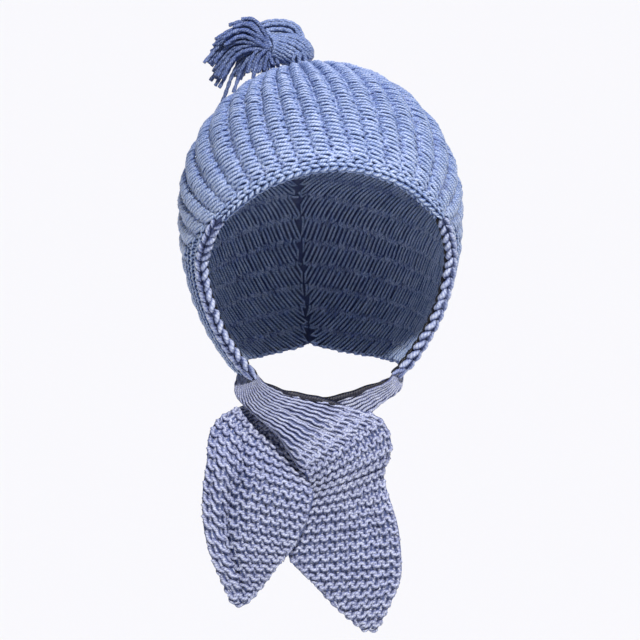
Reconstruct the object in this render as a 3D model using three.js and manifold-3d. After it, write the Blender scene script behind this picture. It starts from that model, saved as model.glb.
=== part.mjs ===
// A small child's hand-knitted bonnet: a ribbed hood with a sewn back, an edging round the face,
// a tassel on the gathered crown, and two scarf ends that cross under the chin and hang.
// Millimetres, +Z up, front towards -Y, +X to the viewer's right. The origin is the highest point
// of the hollow, where the crown of the head sits.

import * as THREE from 'three';
import { mergeVertices } from 'three/addons/utils/BufferGeometryUtils.js';
import Module from 'manifold-3d';

const wasm = await Module();
wasm.setup();

// Driving dimensions of the head form that the hood is drawn over: an egg of half-ellipsoids.
const WALL = 5;
const HALF_WIDTH = 79;
const FRONT_DEPTH = 84;
const BACK_DEPTH = 90;
const CROWN_HEIGHT = 82.5;
const CHIN_DROP = 113;
const CENTRE_Z = WALL - CROWN_HEIGHT;

// The ribs of the hood run from the face edge back to the gather and to the seam below it.
const RIB_COUNT = 38;
const COLUMNS_PER_RIB = 3;
const RIB_ROWS = 14;
const ROW_CROWDING = 1.3;
const RIB_DEPTH = 2.4;
const STEEPEST_RIB = 0.3;
const FLAT_AT_EDGE = 0.26;
const GATHERED_RIBS = 8;
const GATHER_SIDE = -0.06;
const GATHER_BACK = 0.587;
const GATHER_UP = 0.807;
const PUCKER_HEIGHT = 6;
const PUCKER_FOOT = 20;
const PUCKER_TOP = 4;
const BROW_LEAN = -0.15;
const BROW_BACK = 0.945;
const BROW_UP = 0.3;
const SIDE_SPREAD = 0.45;
const FAN_ABOVE = 0.3;
const LEVEL_BELOW = 0.35;
const BROW_REACH = 0.72;
const JAW_REACH = 0.55;
const SEAM_GROOVE = 1.2;
const SEAM_STRETCH = 0.93;

// Small clearances between pieces that touch on the real bonnet.
const GAP = 0.5;
const ROOT_GAP = 0.8;

// The face edging, a firm band of a few rows worked along the front edge.
const EDGING_WIDTH = 6.6;
const EDGING_THICKNESS = 6;
const EDGING_PROUD = 0.7;
const EDGING_ROUNDING = 0.55;
const EDGE_STEP = 0.02;

// The scarf ends are garter stitch: one ridge for each two rows.
const RIDGE_PITCH = 5.7;
const RIDGE_HEIGHT = 0.7;
const SCARF_COLUMNS = 8;
const LEFT_ROOT_T = 0.19;
const RIGHT_ROOT_T = 0.1;
const ROOT_TURN = 0.07;
const CREASE_WIDTH = 0.1;
const EDGE_THINNING = 0.45;
const EDGE_SHARPNESS = 6;
const SLOPE_STEP = 0.004;

// Side view of the front edge of the hood, from the brow down to the jaw, as shares of the head
// form: how far forward of its centre, and how far up.
const FACE_EDGE = [
  { forward: 0.888, up: 0.46 },
  { forward: 0.800, up: 0.33 },
  { forward: 0.677, up: 0.152 },
  { forward: 0.550, up: 0.0 },
  { forward: 0.451, up: -0.106 },
  { forward: 0.361, up: -0.208 },
  { forward: 0.317, up: -0.314 },
  { forward: 0.300, up: -0.415 },
  { forward: 0.288, up: -0.513 },
  { forward: 0.287, up: -0.611 },
  { forward: 0.280, up: -0.712 },
  { forward: 0.270, up: -0.800 },
];

// The end of the back seam, at the nape, in the same shares.
const NAPE_BACK = 0.66;
const NAPE_UP = -0.75;

// Sections across the two scarf ends, from just below the jaw to the tip. Each row is one knitted
// row: its left and right ends, how far its middle stands forward, a crease in its front with its
// place from left (0) to right (1), and its thickness.
const RIGHT_END = [
  { lx: -48.5, ly: -21, lz: -175.5, rx: -35, ry: -42, rz: -168, bow: 0.5, crease: 0, at: 0.5, thick: 6.5 },
  { lx: -41, ly: -43, lz: -182.5, rx: -25, ry: -52, rz: -172, bow: 1.5, crease: 0, at: 0.5, thick: 6.5 },
  { lx: -27, ly: -58, lz: -193, rx: -7, ry: -55, rz: -176, bow: 2, crease: 1, at: 0.4, thick: 6 },
  { lx: -19, ly: -63, lz: -205, rx: 10.5, ry: -56, rz: -180.5, bow: 2.5, crease: 1.5, at: 0.5, thick: 5.5 },
  { lx: -14, ly: -62, lz: -216, rx: 28.5, ry: -54, rz: -188, bow: 4, crease: 0, at: 0.5, thick: 5 },
  { lx: -12.5, ly: -57, lz: -223, rx: 33.5, ry: -52, rz: -203, bow: 6.5, crease: 0, at: 0.5, thick: 5 },
  { lx: -15, ly: -54, lz: -231, rx: 29.5, ry: -50, rz: -218, bow: 6, crease: 0, at: 0.5, thick: 5 },
  { lx: -18.5, ly: -53, lz: -240, rx: 33, ry: -52, rz: -232.5, bow: 4, crease: 1.2, at: 0.75, thick: 5 },
  { lx: -22, ly: -53, lz: -252, rx: 37, ry: -53, rz: -246, bow: 3, crease: 1.6, at: 0.8, thick: 5 },
  { lx: -22.5, ly: -54, lz: -263.5, rx: 38.7, ry: -54, rz: -260, bow: 2.5, crease: 1.6, at: 0.82, thick: 5 },
  { lx: -11, ly: -55, lz: -276, rx: 38.7, ry: -54, rz: -275, bow: 2, crease: 1.2, at: 0.8, thick: 5 },
  { lx: 0.5, ly: -55, lz: -288.5, rx: 33.8, ry: -54, rz: -287.5, bow: 1.5, crease: 0.6, at: 0.7, thick: 5 },
  { lx: 11, ly: -54, lz: -298, rx: 29, ry: -53, rz: -297.5, bow: 1, crease: 0, at: 0.5, thick: 5 },
  { lx: 18.5, ly: -53, lz: -304, rx: 25.5, ry: -52, rz: -304.5, bow: 0.3, crease: 0, at: 0.5, thick: 4 },
];
const LEFT_END = [
  { lx: 32, ly: -41, lz: -167.6, rx: 40, ry: -28, rz: -174, bow: 0, crease: 0, at: 0.5, thick: 6 },
  { lx: 20.5, ly: -44, lz: -171.5, rx: 29, ry: -38, rz: -179.5, bow: 0, crease: 0, at: 0.5, thick: 6 },
  { lx: 3, ly: -45, lz: -177, rx: 14, ry: -45, rz: -190, bow: 0, crease: 0, at: 0.5, thick: 5 },
  { lx: -21.5, ly: -39, lz: -178.5, rx: -3, ry: -49, rz: -199, bow: 0.5, crease: 0, at: 0.5, thick: 5 },
  { lx: -40, ly: -27, lz: -181, rx: -17, ry: -54, rz: -208, bow: 1, crease: 0, at: 0.5, thick: 5 },
  { lx: -58, ly: -34, lz: -187, rx: -15, ry: -54, rz: -215, bow: 3, crease: 1.5, at: 0.35, thick: 5 },
  { lx: -66, ly: -43, lz: -196, rx: -14.5, ry: -58.5, rz: -219.5, bow: 3.5, crease: 2.5, at: 0.32, thick: 5 },
  { lx: -68, ly: -51, lz: -209, rx: -11, ry: -63, rz: -227, bow: 3.5, crease: 3.2, at: 0.3, thick: 5 },
  { lx: -70.5, ly: -53, lz: -225.5, rx: -13.5, ry: -64, rz: -238.5, bow: 3, crease: 3.6, at: 0.27, thick: 5 },
  { lx: -70.5, ly: -54, lz: -242, rx: -18.5, ry: -63, rz: -251, bow: 2.5, crease: 3.6, at: 0.24, thick: 5 },
  { lx: -68, ly: -55, lz: -256, rx: -24, ry: -61, rz: -259.5, bow: 2.5, crease: 3, at: 0.26, thick: 5 },
  { lx: -63, ly: -55, lz: -269.5, rx: -32, ry: -59, rz: -269.5, bow: 2, crease: 2, at: 0.35, thick: 5 },
  { lx: -58, ly: -55, lz: -280.5, rx: -39.5, ry: -57, rz: -280, bow: 1, crease: 0.8, at: 0.45, thick: 5 },
  { lx: -54, ly: -55, lz: -288.5, rx: -48.5, ry: -56, rz: -289, bow: 0.3, crease: 0, at: 0.5, thick: 4 },
];

// The tassel lies over the crown to the viewer's left: a bulb of folded yarn, a cinch, and locks.
const BULB_END = new THREE.Vector3(0.5, 50.5, 3.3);
const CINCH = new THREE.Vector3(-23.5, 45.5, 6.5);
const BULB_RADIUS = 9.5;
const CINCH_RADIUS = 7.2;
const BULB_FLUTES = 9;
const BULB_ARCH = 1.5;
const BULB_CAP = 0.45;
const BULB_STEPS = 8;
const FLUTE_DEPTH = 0.05;
const LOCK_SIDES = 6;
const LOCK_STEPS = 7;
const LOCK_OVERHANG = 0.35;
const LOCK_WAIST = 0.9;
const LOCK_FLARE = 0.25;

// Where each lock of the fringe ends, how high it arches on the way, and its radius.
const LOCKS = [
  { x: -38, y: 45, z: 18.5, arch: 7, radius: 3.8 },
  { x: -46, y: 41, z: 17.5, arch: 7, radius: 3.8 },
  { x: -52.5, y: 37, z: 10.5, arch: 7, radius: 4 },
  { x: -55, y: 46, z: 4, arch: 8, radius: 4 },
  { x: -58, y: 39, z: -2.5, arch: 8.5, radius: 4 },
  { x: -57, y: 49, z: -10, arch: 9, radius: 3.8 },
  { x: -54.5, y: 36, z: -12, arch: 8, radius: 3.4 },
  { x: -51.5, y: 44, z: -21, arch: 8, radius: 2.2 },
  { x: -45, y: 38, z: -15, arch: 6, radius: 2.4 },
  { x: -42, y: 48, z: -10, arch: 7, radius: 3.6 },
  { x: -35, y: 37, z: -5.7, arch: 4, radius: 3.8 },
  { x: -46, y: 55, z: 1, arch: 8, radius: 4 },
  { x: -28, y: 41, z: -3.2, arch: 1, radius: 3.2 },
];

// The fold of yarn that stands up behind the bulb.
const FOLD_TOP = new THREE.Vector3(-11, 52, 17);
const FOLD_REACH = 15;
const FOLD_RADIUS = 4.2;

const clamp01 = (value) => Math.min(1, Math.max(0, value));
const smooth = (from, to, value) => {
  const share = clamp01((value - from) / (to - from));
  return share * share * (3 - 2 * share);
};

// A point of the head form in the direction given by shares of its half axes, let in by `inset`.
function onForm(share, inset = 0) {
  const direction = share.clone().normalize();
  const depth = direction.y < 0 ? FRONT_DEPTH : BACK_DEPTH;
  const height = direction.z > 0 ? CROWN_HEIGHT : CHIN_DROP;
  return new THREE.Vector3(
    direction.x * (HALF_WIDTH - inset),
    direction.y * (depth - inset),
    direction.z * (height - inset) + CENTRE_Z,
  );
}

// The shares of the head form's half axes at which a point lies.
function toShares(point) {
  const height = point.z > CENTRE_Z ? CROWN_HEIGHT : CHIN_DROP;
  const depth = point.y < 0 ? FRONT_DEPTH : BACK_DEPTH;
  const up = (point.z - CENTRE_Z) / height;
  return new THREE.Vector3(point.x / HALF_WIDTH, point.y / depth, up).normalize();
}

function formNormal(share) {
  const depth = share.y < 0 ? FRONT_DEPTH : BACK_DEPTH;
  const height = share.z > 0 ? CROWN_HEIGHT : CHIN_DROP;
  return new THREE.Vector3(share.x / HALF_WIDTH, share.y / depth, share.z / height).normalize();
}

// The part of `direction` that lies along the head form at `share`.
function alongForm(direction, share) {
  return direction.clone().addScaledVector(share, -direction.dot(share)).normalize();
}

function faceEdgeShare(row, side) {
  const across = Math.sqrt(Math.max(0, 1 - row.forward ** 2 - row.up ** 2));
  return new THREE.Vector3(side * across, -row.forward, row.up);
}

// The front edge of the hood from the viewer's left jaw over the brow to the right jaw.
function makeFaceCurve() {
  const left = FACE_EDGE.slice(1).reverse().map((row) => onForm(faceEdgeShare(row, -1)));
  const brow = onForm(new THREE.Vector3(0, -FACE_EDGE[0].forward, FACE_EDGE[0].up));
  const right = FACE_EDGE.slice(1).map((row) => onForm(faceEdgeShare(row, 1)));
  const curve = new THREE.CatmullRomCurve3([...left, brow, ...right], false, 'centripetal');
  curve.arcLengthDivisions = 1200;
  return curve;
}

const faceCurve = makeFaceCurve();
const gather = new THREE.Vector3(GATHER_SIDE, GATHER_BACK, GATHER_UP).normalize();
const nape = new THREE.Vector3(0, NAPE_BACK, NAPE_UP).normalize();

// Where a rib ends. `across` runs from -1 at the left jaw through 0 at the brow to 1 at the right
// jaw. The middle ribs all end in the gather, the others down the back seam.
function ribEnd(across) {
  const gathered = GATHERED_RIBS / RIB_COUNT;
  const down = clamp01((Math.abs(across) - gathered) / (1 - gathered));
  const angle = gather.angleTo(nape) * down;
  const along = alongForm(nape, gather);
  return gather.clone().multiplyScalar(Math.cos(angle)).addScaledVector(along, Math.sin(angle));
}

// A rib leaves the face edge backwards, keeps level with its neighbours over most of the head,
// and then bends to its end.
function ribShare(across, t) {
  const start = toShares(faceCurve.getPointAt((across + 1) / 2));
  const end = ribEnd(across);
  const lower = 1 - clamp01((start.z + LEVEL_BELOW) / (LEVEL_BELOW + FAN_ABOVE));
  const lean = BROW_LEAN * (1 - smooth(0, 1, start.x)) - SIDE_SPREAD * start.x;
  const heading = alongForm(new THREE.Vector3(lean, BROW_BACK, BROW_UP), start);
  const outwards = Math.sign(start.x) * Math.abs(start.y);
  const level = new THREE.Vector3(outwards, Math.abs(start.x), 0);
  heading.lerp(alongForm(level, start), lower).normalize();
  const reach = start.angleTo(end) * THREE.MathUtils.lerp(BROW_REACH, JAW_REACH, lower);
  const middle = start.clone().multiplyScalar(Math.cos(reach));
  middle.addScaledVector(heading, Math.sin(reach));
  const share = start.multiplyScalar((1 - t) ** 2);
  share.addScaledVector(middle, 2 * t * (1 - t));
  return share.addScaledVector(end, t * t).normalize();
}

// How wide a rib is there, in millimetres.
function ribWidth(across, t) {
  const low = Math.max(-1, across - 1 / RIB_COUNT);
  const high = Math.min(1, across + 1 / RIB_COUNT);
  const width = onForm(ribShare(low, t)).distanceTo(onForm(ribShare(high, t)));
  return (width * 2) / (RIB_COUNT * (high - low));
}

// How far the outside of the hood stands above the head form: ribs that swell away from the face
// edge and are lower where they run narrow, a groove at the seam, and a pucker at the gather.
function hoodRelief(share, across, t, column) {
  const away = share.angleTo(gather) * BACK_DEPTH;
  const outside = smooth(PUCKER_TOP, PUCKER_FOOT, away);
  const seam = SEAM_GROOVE * smooth(SEAM_STRETCH, 1, t) * outside;
  const rise = PUCKER_HEIGHT * (1 - outside) - seam;
  if (column % COLUMNS_PER_RIB !== 0) return rise;
  const depth = Math.min(RIB_DEPTH, STEEPEST_RIB * ribWidth(across, t));
  return rise - depth * smooth(0, FLAT_AT_EDGE, t);
}

function bodyFrom(positions, triangles) {
  const geometry = new THREE.BufferGeometry();
  geometry.setAttribute('position', new THREE.Float32BufferAttribute(positions, 3));
  geometry.setIndex(triangles);
  return mergeVertices(geometry, 1e-3);
}

// Leaves out the triangles that merging has closed to a line.
function withoutSlivers(geometry) {
  const index = geometry.getIndex().array;
  const kept = [];
  for (let i = 0; i < index.length; i += 3) {
    const [a, b, c] = [index[i], index[i + 1], index[i + 2]];
    if (a !== b && b !== c && c !== a) kept.push(a, b, c);
  }
  geometry.setIndex(kept);
  return geometry;
}

// The hood: a ribbed outer face, a plain inner face with one column for each rib, and the edges.
function makeHood() {
  const columns = RIB_COUNT * COLUMNS_PER_RIB;
  const positions = [];
  const triangles = [];
  const outer = [];
  const inner = [];
  const add = (point) => positions.push(point.x, point.y, point.z) / 3 - 1;
  for (let column = 0; column <= columns; column += 1) {
    const across = (2 * column) / columns - 1;
    outer.push([]);
    if (column % COLUMNS_PER_RIB === 0) inner.push([]);
    for (let row = 0; row <= RIB_ROWS; row += 1) {
      const t = 1 - (1 - row / RIB_ROWS) ** ROW_CROWDING;
      const share = ribShare(across, t);
      outer.at(-1).push(add(onForm(share, -hoodRelief(share, across, t, column))));
      if (column % COLUMNS_PER_RIB === 0) inner.at(-1).push(add(onForm(share, WALL)));
    }
  }
  const quad = (a, b, c, d) => triangles.push(a, b, c, a, c, d);
  for (let row = 0; row < RIB_ROWS; row += 1) {
    for (let i = 0; i < columns; i += 1) {
      quad(outer[i][row], outer[i + 1][row], outer[i + 1][row + 1], outer[i][row + 1]);
    }
    for (let i = 0; i < RIB_COUNT; i += 1) {
      quad(inner[i][row + 1], inner[i + 1][row + 1], inner[i + 1][row], inner[i][row]);
    }
    quad(outer[0][row], outer[0][row + 1], inner[0][row + 1], inner[0][row]);
    const [o, n] = [outer[columns], inner[RIB_COUNT]];
    quad(n[row], n[row + 1], o[row + 1], o[row]);
  }
  for (let i = 0; i < RIB_COUNT; i += 1) {
    const first = i * COLUMNS_PER_RIB;
    triangles.push(inner[i][0], inner[i + 1][0], outer[first + 1][0]);
    triangles.push(inner[i][0], outer[first + 1][0], outer[first][0]);
    for (let k = 1; k < COLUMNS_PER_RIB; k += 1) {
      triangles.push(inner[i + 1][0], outer[first + k + 1][0], outer[first + k][0]);
    }
  }
  return withoutSlivers(bodyFrom(positions, triangles));
}

// Turns a closed body's faces outwards if its rings ran the other way round.
function facingOut(geometry) {
  const index = geometry.getIndex().array;
  const place = geometry.getAttribute('position');
  const corner = (i) => new THREE.Vector3().fromBufferAttribute(place, index[i]);
  let volume = 0;
  for (let i = 0; i < index.length; i += 3) {
    volume += corner(i).dot(corner(i + 1).cross(corner(i + 2)));
  }
  if (volume < 0) geometry.setIndex(Array.from(index).reverse());
  return geometry;
}

// A closed body swept through rings of equal size, with flat ends.
function sweepRings(rings) {
  const positions = [];
  const triangles = [];
  const sides = rings[0].length;
  rings.flat().forEach((point) => positions.push(point.x, point.y, point.z));
  for (let ring = 0; ring < rings.length - 1; ring += 1) {
    for (let side = 0; side < sides; side += 1) {
      const next = (side + 1) % sides;
      const [a, b] = [ring * sides + side, ring * sides + next];
      triangles.push(a, b, b + sides, a, b + sides, a + sides);
    }
  }
  const last = (rings.length - 1) * sides;
  for (let side = 1; side < sides - 1; side += 1) {
    triangles.push(0, side + 1, side);
    triangles.push(last, last + side, last + side + 1);
  }
  return facingOut(bodyFrom(positions, triangles));
}

// Local axes at the front edge: `face` points off the hood towards the face, `out` off the head.
function edgeFrame(across) {
  const share = ribShare(across, 0);
  const corner = onForm(share);
  const face = corner.clone().sub(onForm(ribShare(across, EDGE_STEP))).normalize();
  const out = formNormal(share);
  face.addScaledVector(out, -face.dot(out)).normalize();
  return { corner, face, out };
}

// A rounded band along the front edge, one station for each rib.
function makeEdging() {
  const half = EDGING_THICKNESS / 2;
  const soft = half * EDGING_ROUNDING;
  const near = GAP;
  const far = GAP + EDGING_WIDTH;
  const profile = [
    [near, -soft], [near + soft, -half], [far - soft, -half], [far, -soft],
    [far, soft], [far - soft, half], [near + soft, half], [near, soft],
  ];
  const lift = EDGING_PROUD - half;
  const rings = [];
  for (let i = 0; i <= RIB_COUNT; i += 1) {
    const { corner, face, out } = edgeFrame((2 * i) / RIB_COUNT - 1);
    rings.push(profile.map(([away, high]) => corner.clone()
      .addScaledVector(face, away).addScaledVector(out, high + lift)));
  }
  return sweepRings(rings);
}

// The first section of a scarf end, set against the lower corner of the hood and of the edging.
function scarfRoot(side) {
  const { corner, face, out } = edgeFrame(side);
  const back = onForm(ribShare(side, side < 0 ? LEFT_ROOT_T : RIGHT_ROOT_T));
  const front = corner.clone().addScaledVector(face, GAP + EDGING_WIDTH);
  const down = new THREE.Vector3().crossVectors(back.clone().sub(front), out).normalize();
  if (down.z > 0) down.negate();
  const clear = ROOT_GAP + Math.max(0, corner.clone().sub(front).dot(down));
  [front, back].forEach((point) => {
    point.addScaledVector(down, clear).addScaledVector(out, -WALL / 2);
  });
  return { front, back, out };
}

// A scarf end is a slab of garter stitch whose rows follow the table's sections.
function makeScarf(table, side) {
  const root = scarfRoot(side);
  const [rootLeft, rootRight] = side < 0 ? [root.back, root.front] : [root.front, root.back];
  const lefts = [rootLeft, ...table.map((row) => new THREE.Vector3(row.lx, row.ly, row.lz))];
  const rights = [rootRight, ...table.map((row) => new THREE.Vector3(row.rx, row.ry, row.rz))];
  const middles = lefts.map((left, i) => left.clone().add(rights[i]).multiplyScalar(0.5));
  const shape = [{ bow: 0, crease: 0, at: 0.5, thick: WALL }, ...table];
  const leftCurve = new THREE.CatmullRomCurve3(lefts, false, 'centripetal');
  const rightCurve = new THREE.CatmullRomCurve3(rights, false, 'centripetal');
  const middleCurve = new THREE.CatmullRomCurve3(middles, false, 'centripetal');
  const ridges = Math.round(middleCurve.getLength() / RIDGE_PITCH);
  const rows = 2 * ridges;
  const column = (name, place) => {
    const whole = Math.min(shape.length - 2, Math.floor(place));
    return THREE.MathUtils.lerp(shape[whole][name], shape[whole + 1][name], place - whole);
  };
  const middlePoint = (u, v) => {
    const place = v * (shape.length - 1);
    const point = leftCurve.getPoint(v).lerp(rightCurve.getPoint(v), u);
    const forward = column('bow', place) * Math.sin(Math.PI * u);
    const aside = (u - column('at', place)) / CREASE_WIDTH;
    const crease = column('crease', place) * Math.exp(-(aside ** 2));
    point.y -= forward - crease;
    return point;
  };
  const step = SLOPE_STEP;
  const front = [];
  const back = [];
  for (let row = 0; row <= rows; row += 1) {
    const v = row / rows;
    const place = v * (shape.length - 1);
    const ridge = row % 2 === 0 ? 0 : RIDGE_HEIGHT;
    front.push([]);
    back.push([]);
    for (let i = 0; i <= SCARF_COLUMNS; i += 1) {
      const u = i / SCARF_COLUMNS;
      const point = middlePoint(u, v);
      const acrossTo = middlePoint(Math.min(1, u + step), v);
      const across = acrossTo.sub(middlePoint(Math.max(0, u - step), v));
      const alongTo = middlePoint(u, Math.min(1, v + step));
      const along = alongTo.sub(middlePoint(u, Math.max(0, v - step)));
      const normal = across.cross(along).normalize();
      const turned = smooth(0, ROOT_TURN, v);
      normal.multiplyScalar(turned).addScaledVector(root.out, turned - 1).normalize();
      const edge = 1 - EDGE_THINNING * Math.abs(2 * u - 1) ** EDGE_SHARPNESS;
      const half = (column('thick', place) / 2) * edge - RIDGE_HEIGHT / 2 + ridge;
      front.at(-1).push(point.clone().addScaledVector(normal, half));
      back.at(-1).push(point.clone().addScaledVector(normal, -half));
    }
  }
  return sweepRings(front.map((line, row) => [...line, ...back[row].reverse()]));
}

// A solid for joining, from a closed geometry.
function toSolid(geometry) {
  const plain = new THREE.BufferGeometry();
  plain.setAttribute('position', geometry.getAttribute('position').clone());
  plain.setIndex(geometry.getIndex().clone());
  const merged = mergeVertices(plain, 1e-4);
  return new wasm.Manifold(new wasm.Mesh({
    numProp: 3,
    vertProperties: new Float32Array(merged.getAttribute('position').array),
    triVerts: new Uint32Array(merged.getIndex().array),
  }));
}

function fromSolid(solid) {
  const mesh = solid.getMesh();
  const geometry = new THREE.BufferGeometry();
  geometry.setAttribute('position', new THREE.Float32BufferAttribute(mesh.vertProperties, 3));
  geometry.setIndex(Array.from(mesh.triVerts));
  return geometry;
}

// A round body along a curve, whose radius follows `radiusAt` from 0 to 1.
function taperedRope(curve, sides, steps, radiusAt) {
  const frames = curve.computeFrenetFrames(steps, false);
  const rings = [];
  for (let i = 0; i <= steps; i += 1) {
    const centre = curve.getPointAt(i / steps);
    const ring = [];
    for (let side = 0; side < sides; side += 1) {
      const angle = (2 * Math.PI * side) / sides;
      const radius = radiusAt(i / steps, angle);
      ring.push(centre.clone()
        .addScaledVector(frames.normals[i], Math.cos(angle) * radius)
        .addScaledVector(frames.binormals[i], Math.sin(angle) * radius));
    }
    rings.push(ring);
  }
  return sweepRings(rings);
}

// The bulb: yarn folded over the tie, fluted lengthwise, drawn in at the cinch.
function makeBulb() {
  const middle = BULB_END.clone().lerp(CINCH, 0.5);
  middle.z += BULB_ARCH;
  const curve = new THREE.CatmullRomCurve3([BULB_END, middle, CINCH], false, 'centripetal');
  const round = (t) => {
    const cap = Math.sqrt(Math.max(0, 1 - (1 - Math.min(1, t / BULB_CAP)) ** 2));
    const waist = THREE.MathUtils.lerp(BULB_RADIUS, CINCH_RADIUS, smooth(0.5, 1, t));
    return Math.max(0.25, cap) * waist;
  };
  const flute = (angle) => 1 - FLUTE_DEPTH * (1 + Math.cos(BULB_FLUTES * angle));
  const sides = 2 * BULB_FLUTES;
  return taperedRope(curve, sides, BULB_STEPS, (t, angle) => round(t) * flute(angle));
}

function makeLock(row) {
  const start = CINCH.clone().lerp(BULB_END, 0.25);
  const end = new THREE.Vector3(row.x, row.y, row.z);
  const bend = CINCH.clone().lerp(end, 0.5);
  bend.z += row.arch;
  bend.x -= row.arch * LOCK_OVERHANG;
  const curve = new THREE.CatmullRomCurve3([start, CINCH, bend, end], false, 'centripetal');
  return taperedRope(curve, LOCK_SIDES, LOCK_STEPS, (t) => row.radius * (LOCK_WAIST + LOCK_FLARE * t));
}

function makeFold() {
  const from = CINCH.clone().lerp(BULB_END, 0.1);
  const to = BULB_END.clone().lerp(CINCH, 0.3);
  const rise = FOLD_TOP.clone();
  rise.x -= FOLD_REACH;
  const curve = new THREE.CatmullRomCurve3([from, rise, FOLD_TOP, to], false, 'centripetal');
  return taperedRope(curve, LOCK_SIDES, LOCK_STEPS, () => FOLD_RADIUS);
}

function makeTassel() {
  let solid = toSolid(makeBulb()).add(toSolid(makeFold()));
  LOCKS.forEach((row) => {
    solid = solid.add(toSolid(makeLock(row)));
  });
  return fromSolid(solid);
}

function wool(colour, roughness) {
  return new THREE.MeshStandardMaterial({ color: colour, roughness, metalness: 0 });
}

function piece(name, geometry, material) {
  const mesh = new THREE.Mesh(geometry, material);
  mesh.name = name;
  return mesh;
}

const bonnet = new THREE.Group();
bonnet.name = 'knitted_bonnet';
bonnet.add(
  piece('hood', makeHood(), wool('#8fa4d0', 0.85)),
  piece('face_edging', makeEdging(), wool('#9aa8cd', 0.85)),
  piece('scarf_end_right', makeScarf(RIGHT_END, -1), wool('#8c94b8', 0.85)),
  piece('scarf_end_left', makeScarf(LEFT_END, 1), wool('#8890b4', 0.85)),
  piece('tassel', makeTassel(), wool('#5f76a8', 0.8)),
);

export default bonnet;
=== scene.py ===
# %% [markdown]
# ## A knitted bonnet, stitch by stitch
# The object is a small child's bonnet: a ribbed hood, an edging round the face, a tassel on the
# gathered crown, and two scarf ends that cross under the chin. The CAD model gives its solids.
# Here each solid is replaced by real yarn: rows of loops that lie on the same surfaces. All
# lengths are in millimetres until a mesh is made, because that is how knitters measure.

import math
from functools import partial

import bmesh
import bpy
import numpy as np
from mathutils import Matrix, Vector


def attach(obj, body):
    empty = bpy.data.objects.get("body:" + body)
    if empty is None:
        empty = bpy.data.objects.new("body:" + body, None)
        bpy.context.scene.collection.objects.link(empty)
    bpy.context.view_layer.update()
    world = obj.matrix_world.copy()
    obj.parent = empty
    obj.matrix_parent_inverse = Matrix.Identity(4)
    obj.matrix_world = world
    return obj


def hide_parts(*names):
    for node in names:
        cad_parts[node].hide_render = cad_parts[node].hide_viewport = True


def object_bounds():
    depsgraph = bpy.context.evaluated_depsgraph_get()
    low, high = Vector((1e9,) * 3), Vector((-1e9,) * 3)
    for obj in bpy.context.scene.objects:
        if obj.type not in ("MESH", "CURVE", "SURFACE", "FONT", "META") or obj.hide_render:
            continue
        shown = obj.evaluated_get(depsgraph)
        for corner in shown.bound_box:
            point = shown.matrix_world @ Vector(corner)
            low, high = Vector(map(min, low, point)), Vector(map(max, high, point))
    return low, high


MM = 0.001

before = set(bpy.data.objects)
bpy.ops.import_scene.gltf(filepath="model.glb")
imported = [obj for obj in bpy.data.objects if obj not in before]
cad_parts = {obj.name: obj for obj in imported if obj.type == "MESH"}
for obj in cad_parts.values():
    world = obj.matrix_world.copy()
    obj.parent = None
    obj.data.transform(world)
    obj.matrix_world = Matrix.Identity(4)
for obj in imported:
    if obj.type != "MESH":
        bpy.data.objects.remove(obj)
cad_low, cad_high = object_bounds()
print("CAD box, mm:", [round((high - low) / MM) for low, high in zip(cad_low, cad_high)])

# %% [markdown]
# ## The camera
# The photograph was taken from a little to the viewer's left and a little above. A far camera
# with a long lens keeps both sides of the bonnet at the same scale, as the photograph does.

# %% The camera
TURN = math.radians(-6)
RISE = math.radians(7.5)
CAMERA_DISTANCE = 12.0
SENSOR = 36.0
VIEW_SIZE = 0.352
CAMERA_REACH = 500.0
AIM = (-0.0034, -0.030, -0.1349)

camera = bpy.data.objects.new("camera", bpy.data.cameras.new("camera"))
bpy.context.scene.collection.objects.link(camera)
bpy.context.scene.camera = camera
camera.data.sensor_width = SENSOR
camera.data.lens = SENSOR * CAMERA_DISTANCE / VIEW_SIZE
camera.data.clip_end = CAMERA_REACH
back = np.array([math.sin(TURN) * math.cos(RISE), -math.cos(TURN) * math.cos(RISE), math.sin(RISE)])
camera.location = np.array(AIM) + CAMERA_DISTANCE * back
camera.rotation_euler = (math.pi / 2 - RISE, 0, TURN)
bpy.context.scene.view_settings.view_transform = "Standard"
print("camera at", [round(value, 2) for value in camera.location])

# %% [markdown]
# ## Floor and light
# A plain pale floor and a pale surround give the white ground of the photograph. The crown looks
# bluer than the scarf, so the lamp above is a cool one and the others are neutral. The surround
# looks as pale as the floor, but lights the wool faintly, or its loops would lose their shadows.

# %% The floor and the lamps
FLOOR_SIZE = 400.0
FLOOR_DROP = 0.12


def linear(colour):
    """Linear values of an sRGB hex colour, with an alpha of 1."""
    shares = [int(colour[i:i + 2], 16) / 255 for i in (1, 3, 5)]
    curve = [s / 12.92 if s <= 0.04045 else ((s + 0.055) / 1.055) ** 2.4 for s in shares]
    return (*curve, 1.0)


def add_node(tree, kind, *values, inputs=None, **settings):
    """Adds a node with its settings. Its inputs get values, or links from sockets or nodes."""
    made = tree.nodes.new(kind)
    for name, value in settings.items():
        setattr(made, name, value)
    for key, value in (dict(enumerate(values)) | (inputs or {})).items():
        source = value.outputs[0] if isinstance(value, bpy.types.Node) else value
        if isinstance(source, bpy.types.NodeSocket):
            tree.links.new(source, made.inputs[key])
        else:
            made.inputs[key].default_value = source
    return made


def add_object(name, data):
    made = bpy.data.objects.new(name, data)
    bpy.context.scene.collection.objects.link(made)
    return made


floor_mesh = bpy.data.meshes.new("floor")
half, level = FLOOR_SIZE / 2, cad_low[2] - FLOOR_DROP
corners = [(-half, -half, level), (half, -half, level), (half, half, level), (-half, half, level)]
floor_mesh.from_pydata(corners, [], [(0, 1, 2, 3)])
floor = add_object("floor", floor_mesh)

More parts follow.
